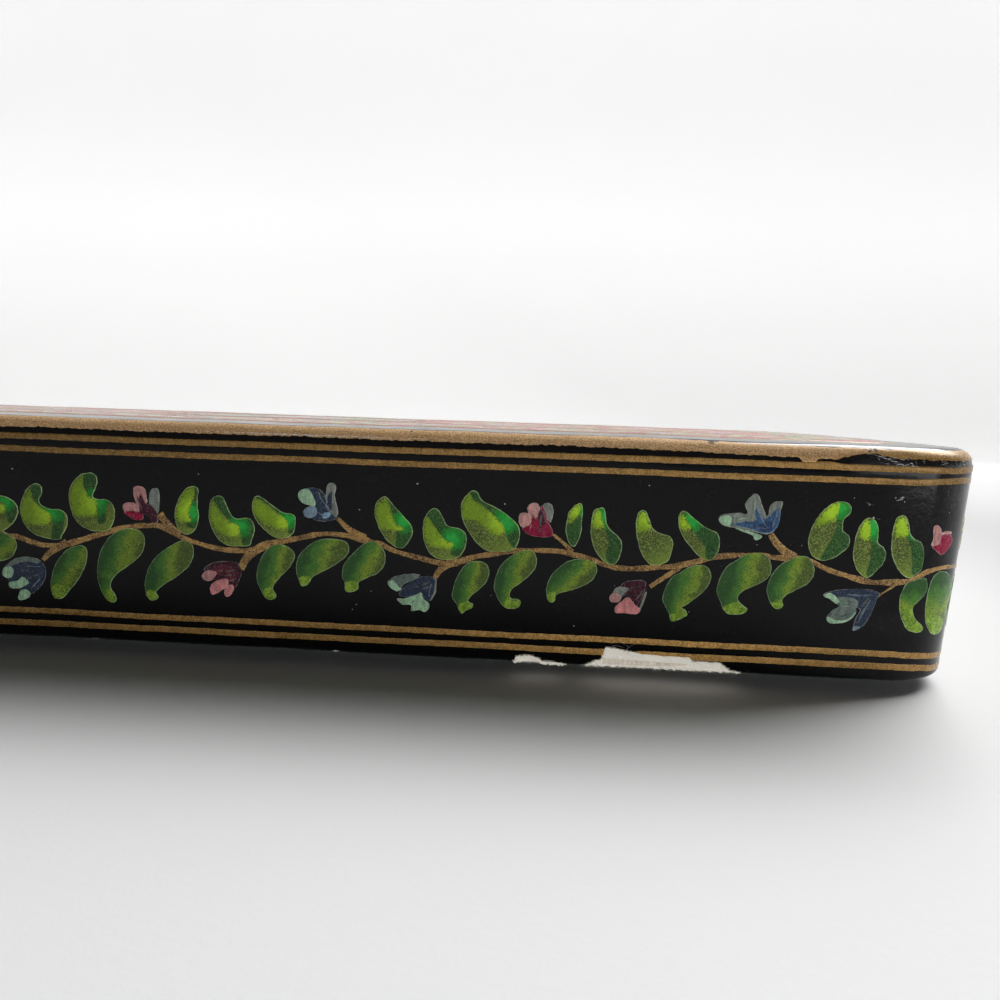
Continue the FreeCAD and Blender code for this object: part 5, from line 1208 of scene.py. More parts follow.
# ---- ribbons: stems and gold lines --------------------------------------------
def ribbon(heap, f, line, width, thick, seed, closed=False, tremble=0.03, **attrs):
    """Painted stroke along a line of local points; f maps local points to the surface."""
    rng = np.random.default_rng(seed)
    p = np.asarray(line, float)
    if closed:
        tan = np.roll(p, -1, 0) - np.roll(p, 1, 0)
        tan[0], tan[-1] = p[1] - p[0], p[-1] - p[-2]
    else:
        tan = np.gradient(p, axis=0)
    L = np.concatenate([[0], np.cumsum(np.sqrt(((p[1:] - p[:-1]) ** 2).sum(1)))])
    tan /= np.maximum(np.sqrt((tan ** 2).sum(1)), 1e-9)[:, None]
    nor = np.stack([-tan[:, 1], tan[:, 0]], 1)
    w = np.broadcast_to(np.asarray(width, float), (len(p),)) / 2
    up = w + wobble(L, rng, 0, tremble, 0.5, 6.0)
    dn = w + wobble(L, rng, 0, tremble, 0.5, 6.0)
    if closed:
        k = np.clip((L[-1] - L) / 6.0, 0, 1)
        up, dn = up * k + up[0] * (1 - k), dn * k + dn[0] * (1 - k)
    rows = [-1.0, -0.78, -0.35, 0.35, 0.78, 1.0]
    hs = [-0.010, thick, thick * 1.08, thick * 1.08, thick, -0.010]
    V, E = [], []
    for q, hh in zip(rows, hs):
        ww = np.where(q > 0, up, dn) * abs(q)
        P = p + nor * (np.sign(q) * ww)[:, None]
        V.append(f(P[:, 0], P[:, 1], hh))
        E.append(np.full(len(p), (1 - abs(q))) * w)
    n = len(p)
    F = grid_faces(6, n, wrap=closed)
    extra = {k: np.concatenate([np.broadcast_to(v, (n,))] * 6) if np.ndim(v) < 2 else v.reshape(-1) for k, v in attrs.items()}
    heap.add(np.concatenate(V), F, ed=np.concatenate(E), **extra)


def around(n, f, seed, lams):
    """Noise that closes on itself round the box."""
    rng = np.random.default_rng(seed)
    s = np.linspace(0, PER, n, endpoint=False)
    out = np.zeros(n)
    for lam in lams:
        k = max(1, round(PER / (lam * rng.uniform(0.8, 1.25))))
        out += np.sin(2 * math.pi * k * s / PER + rng.uniform(0, 6.3)) * rng.uniform(0.5, 1)
    return out / math.sqrt(len(lams)) * f


def build_gold():
    h = Heap()
    n = 2600
    s = np.linspace(-SX, PER - SX, n, endpoint=False)
    lines = [(26.78, 27.58, 0.55), (25.12, 25.92, 0.2), (3.22, 4.05, 0.2), (1.52, 2.40, 0.25)]
    for j, (lo, hi, wr) in enumerate(lines):
        # the painter's line dips or climbs a little where it goes round the front right corner
        dip = np.interp(s, [0, 60, 88, 93, 95.5, 98.5, 102, 112], [[0, 0, 0, -0.12, -0.15, -0.12, 0, 0], [0, 0, 0.06, 0.24, 0.30, 0.22, 0.1, 0],
                                                                  [0, 0, 0, -0.38, -0.66, -0.95, -0.9, 0], [0, 0, 0, -0.30, -0.62, -0.85, -0.8, 0]][j])
        a = lo + dip + around(n, 0.030, 11 + j, [2.1, 3.4, 5.2, 1.3, 0.9]) + around(n, 0.05, 31 + j, [24, 41, 77])
        b = hi + dip + around(n, 0.030, 51 + j, [2.3, 3.1, 6.0, 1.5, 0.8]) + around(n, 0.05, 31 + j, [24, 41, 77])
        if j == 0:
            b = b + 0.22 * np.exp(-((s - 77.4) / 1.4) ** 4)
        rows = [0.0, 0.10, 0.4, 0.7, 0.90, 1.0]
        hs = [-0.010, 0.020, 0.024, 0.024, 0.020, -0.010]
        V = [wall(s, a + (b - a) * q, hh) for q, hh in zip(rows, hs)]
        edge = [0.30, 0.16, 0.02, 0.02, 0.16, 0.30]
        worn = around(n, 0.10, 71 + j, [9, 17, 30])
        if j == 0:
            worn = worn + 0.10
        W = [e + worn + 0.02 for e in edge]
        if j == 3:
            # the lowest line is torn away with the paper: it ends left of the chip and starts again on its upper lip
            s3 = np.linspace(56.05, 51.78 + PER, n)
            w3 = np.mod(s3 + SX, PER) - SX
            per = lambda v: np.interp(w3, np.append(s, PER - SX), np.append(v, v[0]))
            a3, b3 = per(a), per(b)
            a3 = np.where(s3 < 63.7, np.maximum(a3, np.interp(s3, LIP[0], LIP[1]) + 0.03), a3)
            b3 = np.maximum(b3, a3 + 0.02)
            V = [wall(w3, a3 + (b3 - a3) * q, hh) for q, hh in zip(rows, hs)]
            W = [per(w) for w in W]
            h.add(np.concatenate(V), grid_faces(6, n), wear=np.concatenate(W), edge=0.0)
            continue
        h.add(np.concatenate(V), grid_faces(6, n, wrap=True), wear=np.concatenate(W), edge=0.0)
    # gold laid over the rounded top edge
    lo = 28.38 + around(n, 0.07, 91, [0.9, 1.4, 2.1, 3.6, 7]) + around(n, 0.05, 92, [15, 33])
    # it closes up with the upper line, then leaves a bare worn wedge up to the corner
    lo = lo + np.interp(s, [-87, 55, 66, 72, 74.1, 74.6, 76.0, 76.4, 78.6, 79.6, 80.8, 81.8, 83.4, 84.4, 85.6, 88.0, 97.0, 103.0],
                        [0, 0.10, -0.08, -0.22, -0.26, -0.86, -0.86, -0.42, -0.40, -0.02, 0.22, 0.52, 0.66, 0.30, 0.06, 0.02, -0.10, 0.0])
    hi = T_OF_INSET + np.interp(s, [-87, 58, 78, 108, 130, 440], [2.05, 2.05, 1.25, 1.35, 1.8, 2.05]) + around(n, 0.10, 93, [1.7, 3.6, 6.5]) + around(n, 0.10, 94, [21, 44])
    m = 16
    q = np.linspace(0, 1, m)[:, None]
    T = lo[None] + (hi - lo)[None] * q
    hh = np.full(m, 0.022)
    hh[0] = hh[-1] = -0.010
    hh[1] = hh[-2] = 0.018
    V = wall(np.broadcast_to(s, T.shape), T, hh[:, None])
    W = np.full(T.shape, 0.10) + around(n, 0.10, 95, [8, 14, 27])[None]
    W = W + 0.22 * np.exp(-(q / 0.06) ** 2) + 0.18 * np.exp(-((1 - q) / 0.06) ** 2)
    # rubbed places of the corner and a few along the edge
    W = W + 0.26 * np.exp(-((s[None] - 90.5) / 7.0) ** 4) * np.exp(-((T - 29.3) / 1.2) ** 4)
    W = W + 0.45 * np.exp(-((s[None] - 82.8) / 1.3) ** 4) * np.exp(-((T - 29.5) / 0.5) ** 2)
    for s0, w0, a0 in ((300.0, 3.5, 0.4), (182.0, 7.0, 0.55), (366.0, 6.0, 0.5), (437.0, 7.5, 0.6), (232.0, 2.5, 0.35), (64.0, 1.0, 0.45), (26.5, 1.2, 0.5)):
        W = W + a0 * np.exp(-((s[None] - s0) / w0) ** 4) * np.exp(-((T - 30.0) / 1.0) ** 2)
    # edge: painted light on the edge's gold, paler towards the top of the turn, with a painted highlight line near its
    # lower border, less of both towards the corner and on the top
    E = 0.35 + 0.65 * np.clip((T - 28.5) / 1.2, 0, 1) + 1.0 * np.exp(-((T - np.interp(s, [0, 22, 60], [28.68, 28.72, 28.86])[None]) / 0.20) ** 2) * np.interp(s, [-87, -20, 10, 22, 30, 62, 77, 79, 300], [0.2, 0.7, 1.3, 1.2, 0.9, 0.95, 0.6, 0.0, 0.1])[None]
    E = E * np.interp(s, [-87, 78, 84, 96, 110, 440], [1, 1, 0.40, 0.22, 0.9, 1])[None]
    E = E * np.interp(T - T_OF_INSET, [0.2, 0.6], [1.0, 0.55])
    h.add(V.reshape(-1, 3), grid_faces(m, n, wrap=True), wear=W.ravel(), edge=E.ravel())
    h.make("gold_lines_and_edge", M["gold"])


build_gold()

# ---- vine ---------------------------------------------------------------------
COL = {
    "navy": (42, 50, 64), "ashleaf": (84, 96, 88), "paleg": (128, 158, 128), "pink": (150, 108, 104), "ash": (102, 108, 100),
    "crimson": (116, 28, 50), "maroon": (56, 28, 38), "dusk": (76, 36, 44), "salmon": (190, 112, 110), "mist": (100, 118, 130),
    "lightblue": (106, 136, 156), "palepink": (158, 118, 112), "slate": (64, 82, 96), "deepink": (24, 28, 40), "deepmaroon": (34, 16, 24), "deepgreen": (44, 62, 50), "blue": (50, 74, 102), "deepblue": (36, 52, 78),
}
FINE = dict(step=0.24, ring=0.08, edge=0.14)
MEDIUM = dict(step=0.42, ring=0.10, edge=0.24)
_store = {}


def motif(kind, k, q):
    """Triangulated motif in wall coordinates, kept for reuse. q is the mesh fineness."""
    key = (kind, k, q)
    if key in _store:
        return _store[key]
    opt = FINE if q == "fine" else MEDIUM
    seed = 1000 + 37 * k + (0 if kind == "U" else 500 if kind == "L" else 900)
    if kind == "U":
        out, lime, green = UPPER[k]
        vo, fo, d, o = patch(out, seed=seed, **opt)
        pr = vo @ np.array([0.55, -0.83])
        lp = np.array(lime, float)
        big = float(np.ptp(vo, axis=0).max())
        fold = lp[np.argmax(lp @ np.array([1.0, -0.5]))] + np.array([0.1, 0.18 * big])
        reach = 0.25 * big
        em = np.exp(-(((vo - fold) ** 2).sum(1) / reach ** 2))
        at = dict(ed=d, zl=sdist(vo, smooth_loop(lime, 0.3)), zg=sdist(vo, smooth_loop(green, 0.3)), gr=(pr - pr.min()) / (pr.max() - pr.min()), em=em)
        parts = [(vo, fo, d, at)]
    elif kind == "L":
        out, (a, b), tip = LOWER[k]
        vo, fo, d, o = patch(out, seed=seed, **opt)
        a, b = np.array(a), np.array(b)
        x = ((vo - a) @ (b - a)) / max(float((b - a) @ (b - a)), 1e-6)
        tp = sdist(vo, smooth_loop(tip, 0.3)) if len(tip) > 2 else np.full(len(vo), -1.0)
        parts = [(vo, fo, d, dict(ed=d, gr=np.clip(0.18 + 0.66 * x, 0, 1), tp=tp))]
    else:
        parts = []
        for j, (ck, out) in enumerate(FLOWERS[k]):
            vo, fo, d, o = patch(out, seed=seed + j, **opt)
            parts.append((vo, fo, d, ck, j))
    _store[key] = parts
    return parts


class Vine:
    """Heaps of one run of the vine."""

    def __init__(self, f, q):
        self.f, self.q = f, q
        self.up, self.low, self.fl, self.st = Heap(), Heap(), Heap(), Heap()

    def put(self, kind, k, move, rng=None, swap=None, thick=1.0):
        for part in motif(kind, k, self.q):
            vo, fo, d = part[:3]
            x, y = move(vo[:, 0], vo[:, 1])
            if kind == "U":
                self.up.add(self.f(x, y, lift(d, 0.055 * thick)), fo, rnd=rng.uniform(0, 1) if rng is not None else 0.5, **part[3])
            elif kind == "L":
                self.low.add(self.f(x, y, lift(d, 0.042 * thick)), fo, **part[3])
            else:
                ck, j = part[3], part[4]
                c = COL[(swap or {}).get(ck, ck)]
                self.fl.add(self.f(x, y, lift(d, (0.052 + 0.010 * j) * thick)), fo, ed=d, col=np.array(paint(*c)[:3]))

    def stalk(self, k, move):
        pts, (wa, wb) = STALKS[k]
        p = smooth_line([(a, b, w) for (a, b), w in zip(pts, np.linspace(wa, wb, len(pts)))], 0.16 if self.q == "fine" else 0.3)
        x, y = move(p[:, 0], p[:, 1])
        sc = abs(move(np.array([1.0]), np.array([0.0]))[0][0] - move(np.array([0.0]), np.array([0.0]))[0][0])
        ribbon(self.st, self.f, np.stack([x, y], 1), 1.18 * p[:, 2] * sc, 0.026, 300 + k)

    def finish(self, tag):
        for h, part, mat in ((self.up, "upper_leaves", "up"), (self.low, "lower_leaves", "low"), (self.fl, "flowers", "flower"), (self.st, "stem", "stem")):
            if h.n:
                h.make(tag + "_" + part, M[mat])


STALK_OF = {0: 0, 1: 1, 2: 2, 3: 3, 9: 4, 4: 5, 5: 6, 6: 7, 7: 8}
VALLEY = [-21.2, 4.0, 31.4, 53.3, 84.5]
CEN = {"U": [], "L": [], "F": []}
for m in UPPER:
    CEN["U"].append(np.mean([p[0] for p in m[0]]))
for m in LOWER:
    CEN["L"].append(np.mean([p[0] for p in m[0]]))
for m in FLOWERS:
    CEN["F"].append(np.mean([p[0] for q in m for p in q[1]]))
BLOCKS = []
for b in range(4):
    a0, a1 = VALLEY[b], VALLEY[b + 1]
    items = [(kind, k) for kind in "LUF" for k, c in enumerate(CEN[kind]) if a0 - 1.5 <= c < a1 - 1.5]
    BLOCKS.append((a0, a1, items))


def straight(x, y):
    return x, y


def block_move(a0, s0, scale, dt, rng, ky=1.0):
    p1, p2, p3 = rng.uniform(0, 6.3, 3)

    def move(x, y):
        u = x - a0
        wx = 0.16 * np.sin(0.55 * y + p1) + 0.12 * np.sin(0.5 * u + p2)
        wy = 0.14 * np.sin(0.42 * u + p3) + 0.10 * np.sin(0.6 * y + p1)
        return s0 + (u + wx) * scale, 14.8 + ((y + wy) - 14.8) * ky + dt
    return move


def stem_points(a0, a1):
    return [p for p in STEM if a0 - 0.2 <= p[0] < a1 - 0.4]


def build_front():
    v = Vine(wall, "fine")
    rng = np.random.default_rng(8)
    pts = list(STEM)
    # rest of the run up to the next block, round the corner
    pts += [(103.5, 13.9), (107.5, 13.2), (111.0, 12.95)]
    seq, s0 = [1, 2, 3, 0, 1, 3, 2, 0, 3, 1, 2, 0, 1, 2, 0], 111.0
    total = PER - 21.2 - 111.0
    scale = total / sum(VALLEY[b + 1] - VALLEY[b] for b in seq)
    back = Vine(wall, "medium")
    swaps = [None, {"crimson": "deepblue", "maroon": "navy", "pink": "mist", "salmon": "lightblue", "palepink": "ash", "dusk": "navy"},
             {"navy": "maroon", "blue": "crimson", "deepblue": "maroon", "ashleaf": "dusk", "paleg": "palepink", "mist": "pink", "lightblue": "salmon"}]
    for n, b in enumerate(seq):
        a0, a1, items = BLOCKS[b]
        mv = block_move(a0, s0, scale, rng.uniform(-0.25, 0.25), rng)
        for kind, k in items:
            cx = float(mv(np.array([CEN[kind][k]]), np.array([15.0]))[0][0])
            if cx > PER - 30.9 - 2.0:
                continue
            sw = swaps[int(rng.choice([0, 0, 0, 1, 2]))] if kind == "F" else None
            back.put(kind, k, mv, rng, sw)
            if kind == "F" and k in STALK_OF:
                back.stalk(STALK_OF[k], mv)
        for p in stem_points(a0, a1):
            x, y = mv(np.array([p[0]]), np.array([p[1]]))
            if x[0] < PER - 28.8:
                pts.append((float(x[0]), float(y[0])))
        s0 += (a1 - a0) * scale
    pts.append((PER - 27.59, 13.87))
    # pieces between the traced run and the first block
    for kind, k, at, dt in (("U", 5, 103.2, 0.2), ("L", 7, 100.9, 0.1), ("L", 5, 106.2, -0.2), ("U", 3, 108.6, -0.6)):
        mv = block_move(CEN[kind][k], at, 1.0, dt, rng)
        back.put(kind, k, mv, rng)
    line = smooth_line(pts, 0.22)
    w = 0.70 + 0.07 * np.sin(line[:, 0] * 0.7) + 0.05 * np.sin(line[:, 0] * 1.9 + 1)
    # thicker at the joints
    for s1, t1, r1 in KNOTS:
        w = w + 0.28 * np.exp(-((line[:, 0] - s1) / 1.1) ** 2)
    w = np.where(line[:, 0] > 92, w * 0.80, w)
    cut = np.searchsorted(line[:, 0], 106.0)
    ribbon(v.st, wall, line[:cut + 1], w[:cut + 1], 0.028, 61)
    ribbon(back.st, wall, line[cut:], w[cut:], 0.028, 62)
    for k in range(len(STALKS)):
        v.stalk(k, straight)
    for k in range(len(LOWER)):
        v.put("L", k, straight, rng)
    for k in range(len(UPPER)):
        v.put("U", k, straight, rng)
    for k in range(len(FLOWERS)):
        v.put("F", k, straight, rng)
    v.finish("front_vine")
    back.finish("side_and_back_vine")


build_front()


# ---- top ----------------------------------------------------------------------
def loop_line(hx, hy, r, step):
    """Rounded oblong as points with outward normals and running length."""
    segs = [(-hx + r, -hy, hx - r, -hy), (hx, -hy + r, hx, hy - r), (hx - r, hy, -hx + r, hy), (-hx, hy - r, -hx, -hy + r)]
    cen = [(hx - r, -hy + r), (hx - r, hy - r), (-hx + r, hy - r), (-hx + r, -hy + r)]
    P, N = [], []
    for k in range(4):
        x0, y0, x1, y1 = segs[k]
        ln = math.hypot(x1 - x0, y1 - y0)
        m = max(2, int(round(ln / step)))
        q = np.linspace(0, 1, m, endpoint=False)[:, None]
        P.append(np.array([[x0, y0]]) * (1 - q) + np.array([[x1, y1]]) * q)
        a = -math.pi / 2 + k * math.pi / 2
        N.append(np.tile([[math.cos(a), math.sin(a)]], (m, 1)))
        m = max(3, int(round(r * math.pi / 2 / step)))
        aa = a + np.linspace(0, math.pi / 2, m, endpoint=False)
        nn = np.stack([np.cos(aa), np.sin(aa)], 1)
        P.append(np.array([cen[k]]) + r * nn)
        N.append(nn)
    P, N = np.concatenate(P), np.concatenate(N)
    L = np.concatenate([[0], np.cumsum(np.sqrt(((P[1:] - P[:-1]) ** 2).sum(1)))])
    total = float(L[-1] + np.sqrt(((P[0] - P[-1]) ** 2).sum()))
    return P, N, L, total


def loop_map(hx, hy, r):
    P, N, L, total = loop_line(hx, hy, r, 0.25)
    P, N, L = np.concatenate([P, P[:1]]), np.concatenate([N, N[:1]]), np.append(L, total)

    def f(s, v, off=0.0):
        s = np.mod(s, total)
        x, y = np.interp(s, L, P[:, 0]), np.interp(s, L, P[:, 1])
        nx, ny = np.interp(s, L, N[:, 0]), np.interp(s, L, N[:, 1])
        w = np.hypot(nx, ny)
        return top(x + nx / w * v, y + ny / w * v, off)
    return f, total


def shift(f, dz):
    """Thinner paint on the top: the films lie almost flush in the varnish."""
    return lambda s, v, off=0.0: f(s, v, dz + 0.30 * off)


def top_line(heap, hx, hy, r, width, dz, seed, wear=0.12):
    P, N, L, total = loop_line(hx, hy, r, 0.5)
    n = len(P)
    rng = np.random.default_rng(seed)
    w1, w2 = (1 + 0.18 * around(n, 1, seed, [1.7, 2.9, 4.6, 11]) for _ in range(2))
    c = 0.06 * around(n, 1, seed + 5, [9, 23, 40])
    rows = [-1.0, -0.7, 0.0, 0.7, 1.0]
    hs = [-0.010, 0.018, 0.022, 0.018, -0.010]
    V, W = [], []
    for q, hh in zip(rows, hs):
        v = c + q * width / 2 * (w1 if q > 0 else w2)
        V.append(top(P[:, 0] + N[:, 0] * v, P[:, 1] + N[:, 1] * v, hh + dz))
        W.append(np.full(n, wear + 0.16 * abs(q)))
    heap.add(np.concatenate(V), grid_faces(5, n, wrap=True)[:, ::-1], wear=np.concatenate(W))


def build_top():
    # red ground, laid in a rounded oblong with a brushed edge
    P, N, L, total = loop_line(90.0, 29.0, 4.2, 0.6)
    n = len(P)
    e = 0.07 * around(n, 1, 7, [1.5, 2.6, 4.0]) + 0.10 * around(n, 1, 8, [12, 30])
    rim = P + N * e[:, None]
    r1 = P + N * (e - 0.25)[:, None]
    gx, gy = np.arange(-88.5, 88.6, 1.7), np.arange(-27.6, 27.7, 1.5)
    X, Y = np.meshgrid(gx, gy)
    X = X + (np.arange(len(gy)) % 2)[:, None] * 0.85
    Q = np.stack([X.ravel(), Y.ravel()], 1)
    Q = Q[sdist(Q, rim) > 1.1]
    res = delaunay_2d_cdt([Vector(p) for p in np.concatenate([rim, r1, Q]).tolist()], [(i, (i + 1) % n) for i in range(n)], [], 1, 1e-7)
    vo = np.array([tuple(p) for p in res[0]], float)
    fo = np.array([f for f in res[2] if len(f) == 3], np.int64)
    d = np.maximum(sdist(vo, rim), 0)
    off = -0.012 + 0.042 * np.clip(d / 0.22, 0, 1)
    wear = 0.10 * np.exp(-d / 1.2)
    make("top_red_field", top(vo[:, 0], vo[:, 1], off), [fo], M["red"], {"wear": wear})
    g = Heap()
    top_line(g, 91.35, 30.35, 5.2, 0.62, 0.0, 301)
    top_line(g, 90.35, 29.35, 4.5, 0.42, 0.012, 302)
    top_line(g, 77.2, 16.2, 3.0, 0.70, 0.030, 303)
    top_line(g, 75.9, 14.9, 2.4, 0.34, 0.030, 304)
    # running vine between the gold lines
    f, total = loop_map(83.7, 22.7, 6.0)
    fr = shift(f, 0.030)
    # the motifs turn with the path: local s runs along it, local t outwards
    v = Vine(lambda x, y, off=0.0: fr(-x, y, off), "medium")
    rng = np.random.default_rng(44)
    seq = [0, 1, 2, 3] * 6 + [1, 2]
    nat = sum(VALLEY[b + 1] - VALLEY[b] for b in seq)
    scale = total / nat
    s0, pts = 0.0, []
    swaps = [{"navy": "mist", "blue": "lightblue", "deepblue": "blue", "crimson": "salmon", "maroon": "palepink", "dusk": "pink"},
             {"navy": "palepink", "ashleaf": "salmon", "blue": "palepink", "deepblue": "salmon", "crimson": "mist", "maroon": "lightblue", "dusk": "mist"}]
    for b in seq:
        a0, a1, items = BLOCKS[b]

        def mv(x, y, a0=a0, s0=s0):
            return s0 + (x - a0) * scale, (y - 14.6) * 0.58
        for kind, k in items:
            v.put(kind, k, mv, rng, swaps[int(rng.integers(0, 2))] if kind == "F" else None, thick=0.8)
            if kind == "F" and k in STALK_OF:
                v.stalk(STALK_OF[k], mv)
        for p in stem_points(a0, a1):
            x, y = mv(np.array([p[0]]), np.array([p[1]]))
            pts.append((float(x[0]), float(y[0])))
        s0 += (a1 - a0) * scale
    pts.append((pts[0][0] + total, pts[0][1]))
    line = smooth_line(pts, 0.3)
    ribbon(v.st, v.f, line, 0.46 + 0.05 * np.sin(line[:, 0]), 0.022, 63)
    # centre: an oval medallion and sprays to both sides
    oval = np.array([[23.0 * math.cos(a), 12.6 * math.sin(a)] for a in np.linspace(0, 2 * math.pi, 97)[:-1]])
    lobes = oval * (1 + 0.035 * np.cos(16 * np.linspace(0, 2 * math.pi, 97)[:-1]))[:, None]
    vo, fo, d, o = patch(lobes, step=1.3, ring=0.2, edge=0.5, seed=5, tremble=0.02)
    make("top_medallion_ground", top(vo[:, 0], vo[:, 1], -0.012 + 0.058 * np.clip(d / 0.2, 0, 1)), [fo], M["lacquer"], {"bare": np.zeros(len(vo)), "rub": np.zeros(len(vo))})
    for k, (sc, w, dz) in enumerate(((1.03, 0.75, 0.034), (0.93, 0.34, 0.050))):
        c = np.array([p * sc for p in lobes])
        c = np.concatenate([c, c[:1]])
        c = smooth_line(c, 0.4)
        tan = np.gradient(c, axis=0)
        tan /= np.sqrt((tan ** 2).sum(1))[:, None]
        nn = np.stack([-tan[:, 1], tan[:, 0]], 1)
        rows, hs = [-1.0, -0.7, 0.0, 0.7, 1.0], [-0.02, 0.018, 0.022, 0.018, -0.02]
        V = [top(c[:, 0] + nn[:, 0] * q * w / 2, c[:, 1] + nn[:, 1] * q * w / 2, hh + dz) for q, hh in zip(rows, hs)]
        g.add(np.concatenate(V), grid_faces(5, len(c)), wear=np.concatenate([np.full(len(c), 0.12 + 0.14 * abs(q)) for q in rows]))
    topf, red = shift(top, 0.046), shift(top, 0.030)
    m1, m2 = Vine(topf, "medium"), Vine(red, "medium")

    def pose(kind, k, x, y, turn, size, flip=1.0):
        cx, cy = CEN[kind][k], np.mean([p[1] for p in (UPPER[k][0] if kind == "U" else LOWER[k][0] if kind == "L" else [p for q in FLOWERS[k] for p in q[1]])])
        ca, sa = math.cos(turn), math.sin(turn)

        def mv(a, b):
            u, w = (a - cx) * size * flip, (b - cy) * size
            return x + u * ca - w * sa, y + u * sa + w * ca
        return mv

    def petal_ring(vine, x, y, count, r0, r1, wide, cols, turn=0.0, dz=0.0):
        for k in range(count):
            a = turn + 2 * math.pi * k / count
            lp = [(r0, -0.18 * wide), (r0 + (r1 - r0) * 0.45, -0.5 * wide), (r0 + (r1 - r0) * 0.85, -0.42 * wide), (r1, 0.0),
                  (r0 + (r1 - r0) * 0.85, 0.42 * wide), (r0 + (r1 - r0) * 0.45, 0.5 * wide), (r0, 0.18 * wide)]
            ca, sa = math.cos(a), math.sin(a)
            pts = [(x + u * ca - w * sa, y + u * sa + w * ca) for u, w in lp]
            vo, fo, d, o = patch(pts, step=0.4, ring=0.09, edge=0.22, seed=k + 3)
            vine.fl.add(vine.f(vo[:, 0], vo[:, 1], lift(d, 0.045 + dz)), fo, ed=d, col=np.array(paint(*COL[cols[k % len(cols)]])[:3]))

    def disc(vine, x, y, r, ck, dz):
        pts = [(x + r * math.cos(a), y + r * math.sin(a)) for a in np.linspace(0, 2 * math.pi, 13)[:-1]]
        vo, fo, d, o = patch(pts, step=0.3, ring=0.08, edge=0.2, seed=9)
        vine.fl.add(vine.f(vo[:, 0], vo[:, 1], lift(d, 0.045 + dz)), fo, ed=d, col=np.array(paint(*COL[ck])[:3]))
    # rosette
    petal_ring(m1, 0, 0, 10, 2.2, 6.4, 2.7, ["pink", "salmon"], 0.0)
    petal_ring(m1, 0, 0, 8, 1.2, 4.4, 2.3, ["crimson", "maroon"], 0.2, 0.012)
    petal_ring(m1, 0, 0, 6, 0.5, 2.5, 1.5, ["palepink", "salmon"], 0.1, 0.024)
    disc(m1, 0, 0, 0.8, "paleg", 0.036)
    mrng = np.random.default_rng(17)
    for sx in (1, -1):
        for sy in (1, -1):
            stem = smooth_line([(sx * 5.0, sy * 1.0), (sx * 9.5, sy * 4.4), (sx * 14.5, sy * 4.6), (sx * 18.2, sy * 1.6)], 0.3)
            ribbon(m1.st, topf, stem, 0.42, 0.020, 70)
            for (x, y, a, sz, kk) in ((9.0, 6.3, 0.5, 0.62, 5), (12.6, 7.0, 0.2, 0.52, 14), (9.6, 2.2, -2.3, 0.5, 4), (14.4, 2.5, -2.6, 0.46, 5), (16.8, 5.0, -0.3, 0.44, 3)):
                mv = pose("U", kk, sx * x, sy * y, (a if sy > 0 else -a) if sx > 0 else (-a if sy > 0 else a), sz * sy, sx * sy)
                m1.put("U", kk, mv, mrng, thick=0.8)
            petal_ring(m1, sx * 18.6, sy * 0.0 + 0.0, 5, 0.4, 2.3, 1.5, ["blue", "lightblue"], 0.3 * sx, 0.008) if sy > 0 else None
            petal_ring(m1, sx * 8.2, sy * 8.2, 5, 0.3, 1.6, 1.1, ["mist", "lightblue"], 0.3, 0.006)
            disc(m1, sx * 8.2, sy * 8.2, 0.4, "crimson", 0.02)
        disc(m1, sx * 18.6, 0.0, 0.6, "palepink", 0.024)
    # scrolling sprays on the red to left and right of the medallion
    for sx in (1, -1):
        pts = [(sx * 25.0, 0.0), (sx * 30.0, 4.6), (sx * 36.5, 7.4), (sx * 43.0, 5.0), (sx * 47.0, -1.6), (sx * 53.0, -6.4), (sx * 60.0, -6.8), (sx * 66.0, -2.2), (sx * 69.5, 3.6)]
        main = smooth_line(pts, 0.3)
        ribbon(m2.st, red, main, 0.62, 0.022, 71)
        for bp in ([(36.5, 7.4), (35.5, 2.0), (31.0, -3.4), (29.5, -7.8)], [(43.0, 5.0), (49.0, 8.0), (54.5, 7.6), (58.5, 4.2)], [(53.0, -6.4), (47.5, -9.6), (41.0, -9.0), (37.5, -6.2)],
                   [(60.0, -6.8), (65.5, -9.4), (70.0, -8.6)]):
            br = smooth_line([(sx * a, b) for a, b in bp], 0.3)
            ribbon(m2.st, red, br, np.linspace(0.5, 0.34, len(br)), 0.020, 72)
        for x, y, r, cols, cc in ((29.3, -9.2, 2.9, ["pink", "salmon"], "crimson"), (60.4, 3.0, 3.3, ["lightblue", "mist"], "palepink"), (36.2, -4.6, 2.5, ["mist", "paleg"], "blue"),
                                  (70.6, 5.6, 3.0, ["palepink", "salmon"], "maroon"), (71.4, -8.2, 2.3, ["lightblue", "mist"], "crimson"), (36.6, 9.6, 2.3, ["pink", "palepink"], "maroon"), (46.6, 0.8, 2.2, ["lightblue", "mist"], "blue")):
            petal_ring(m2, sx * x, y, 6, 0.5, r, r * 0.62, cols, 0.2 * sx)
            petal_ring(m2, sx * x, y, 5, 0.2, r * 0.56, r * 0.36, [cc], 0.5 * sx, 0.012)
            disc(m2, sx * x, y, r * 0.16, "paleg", 0.024)
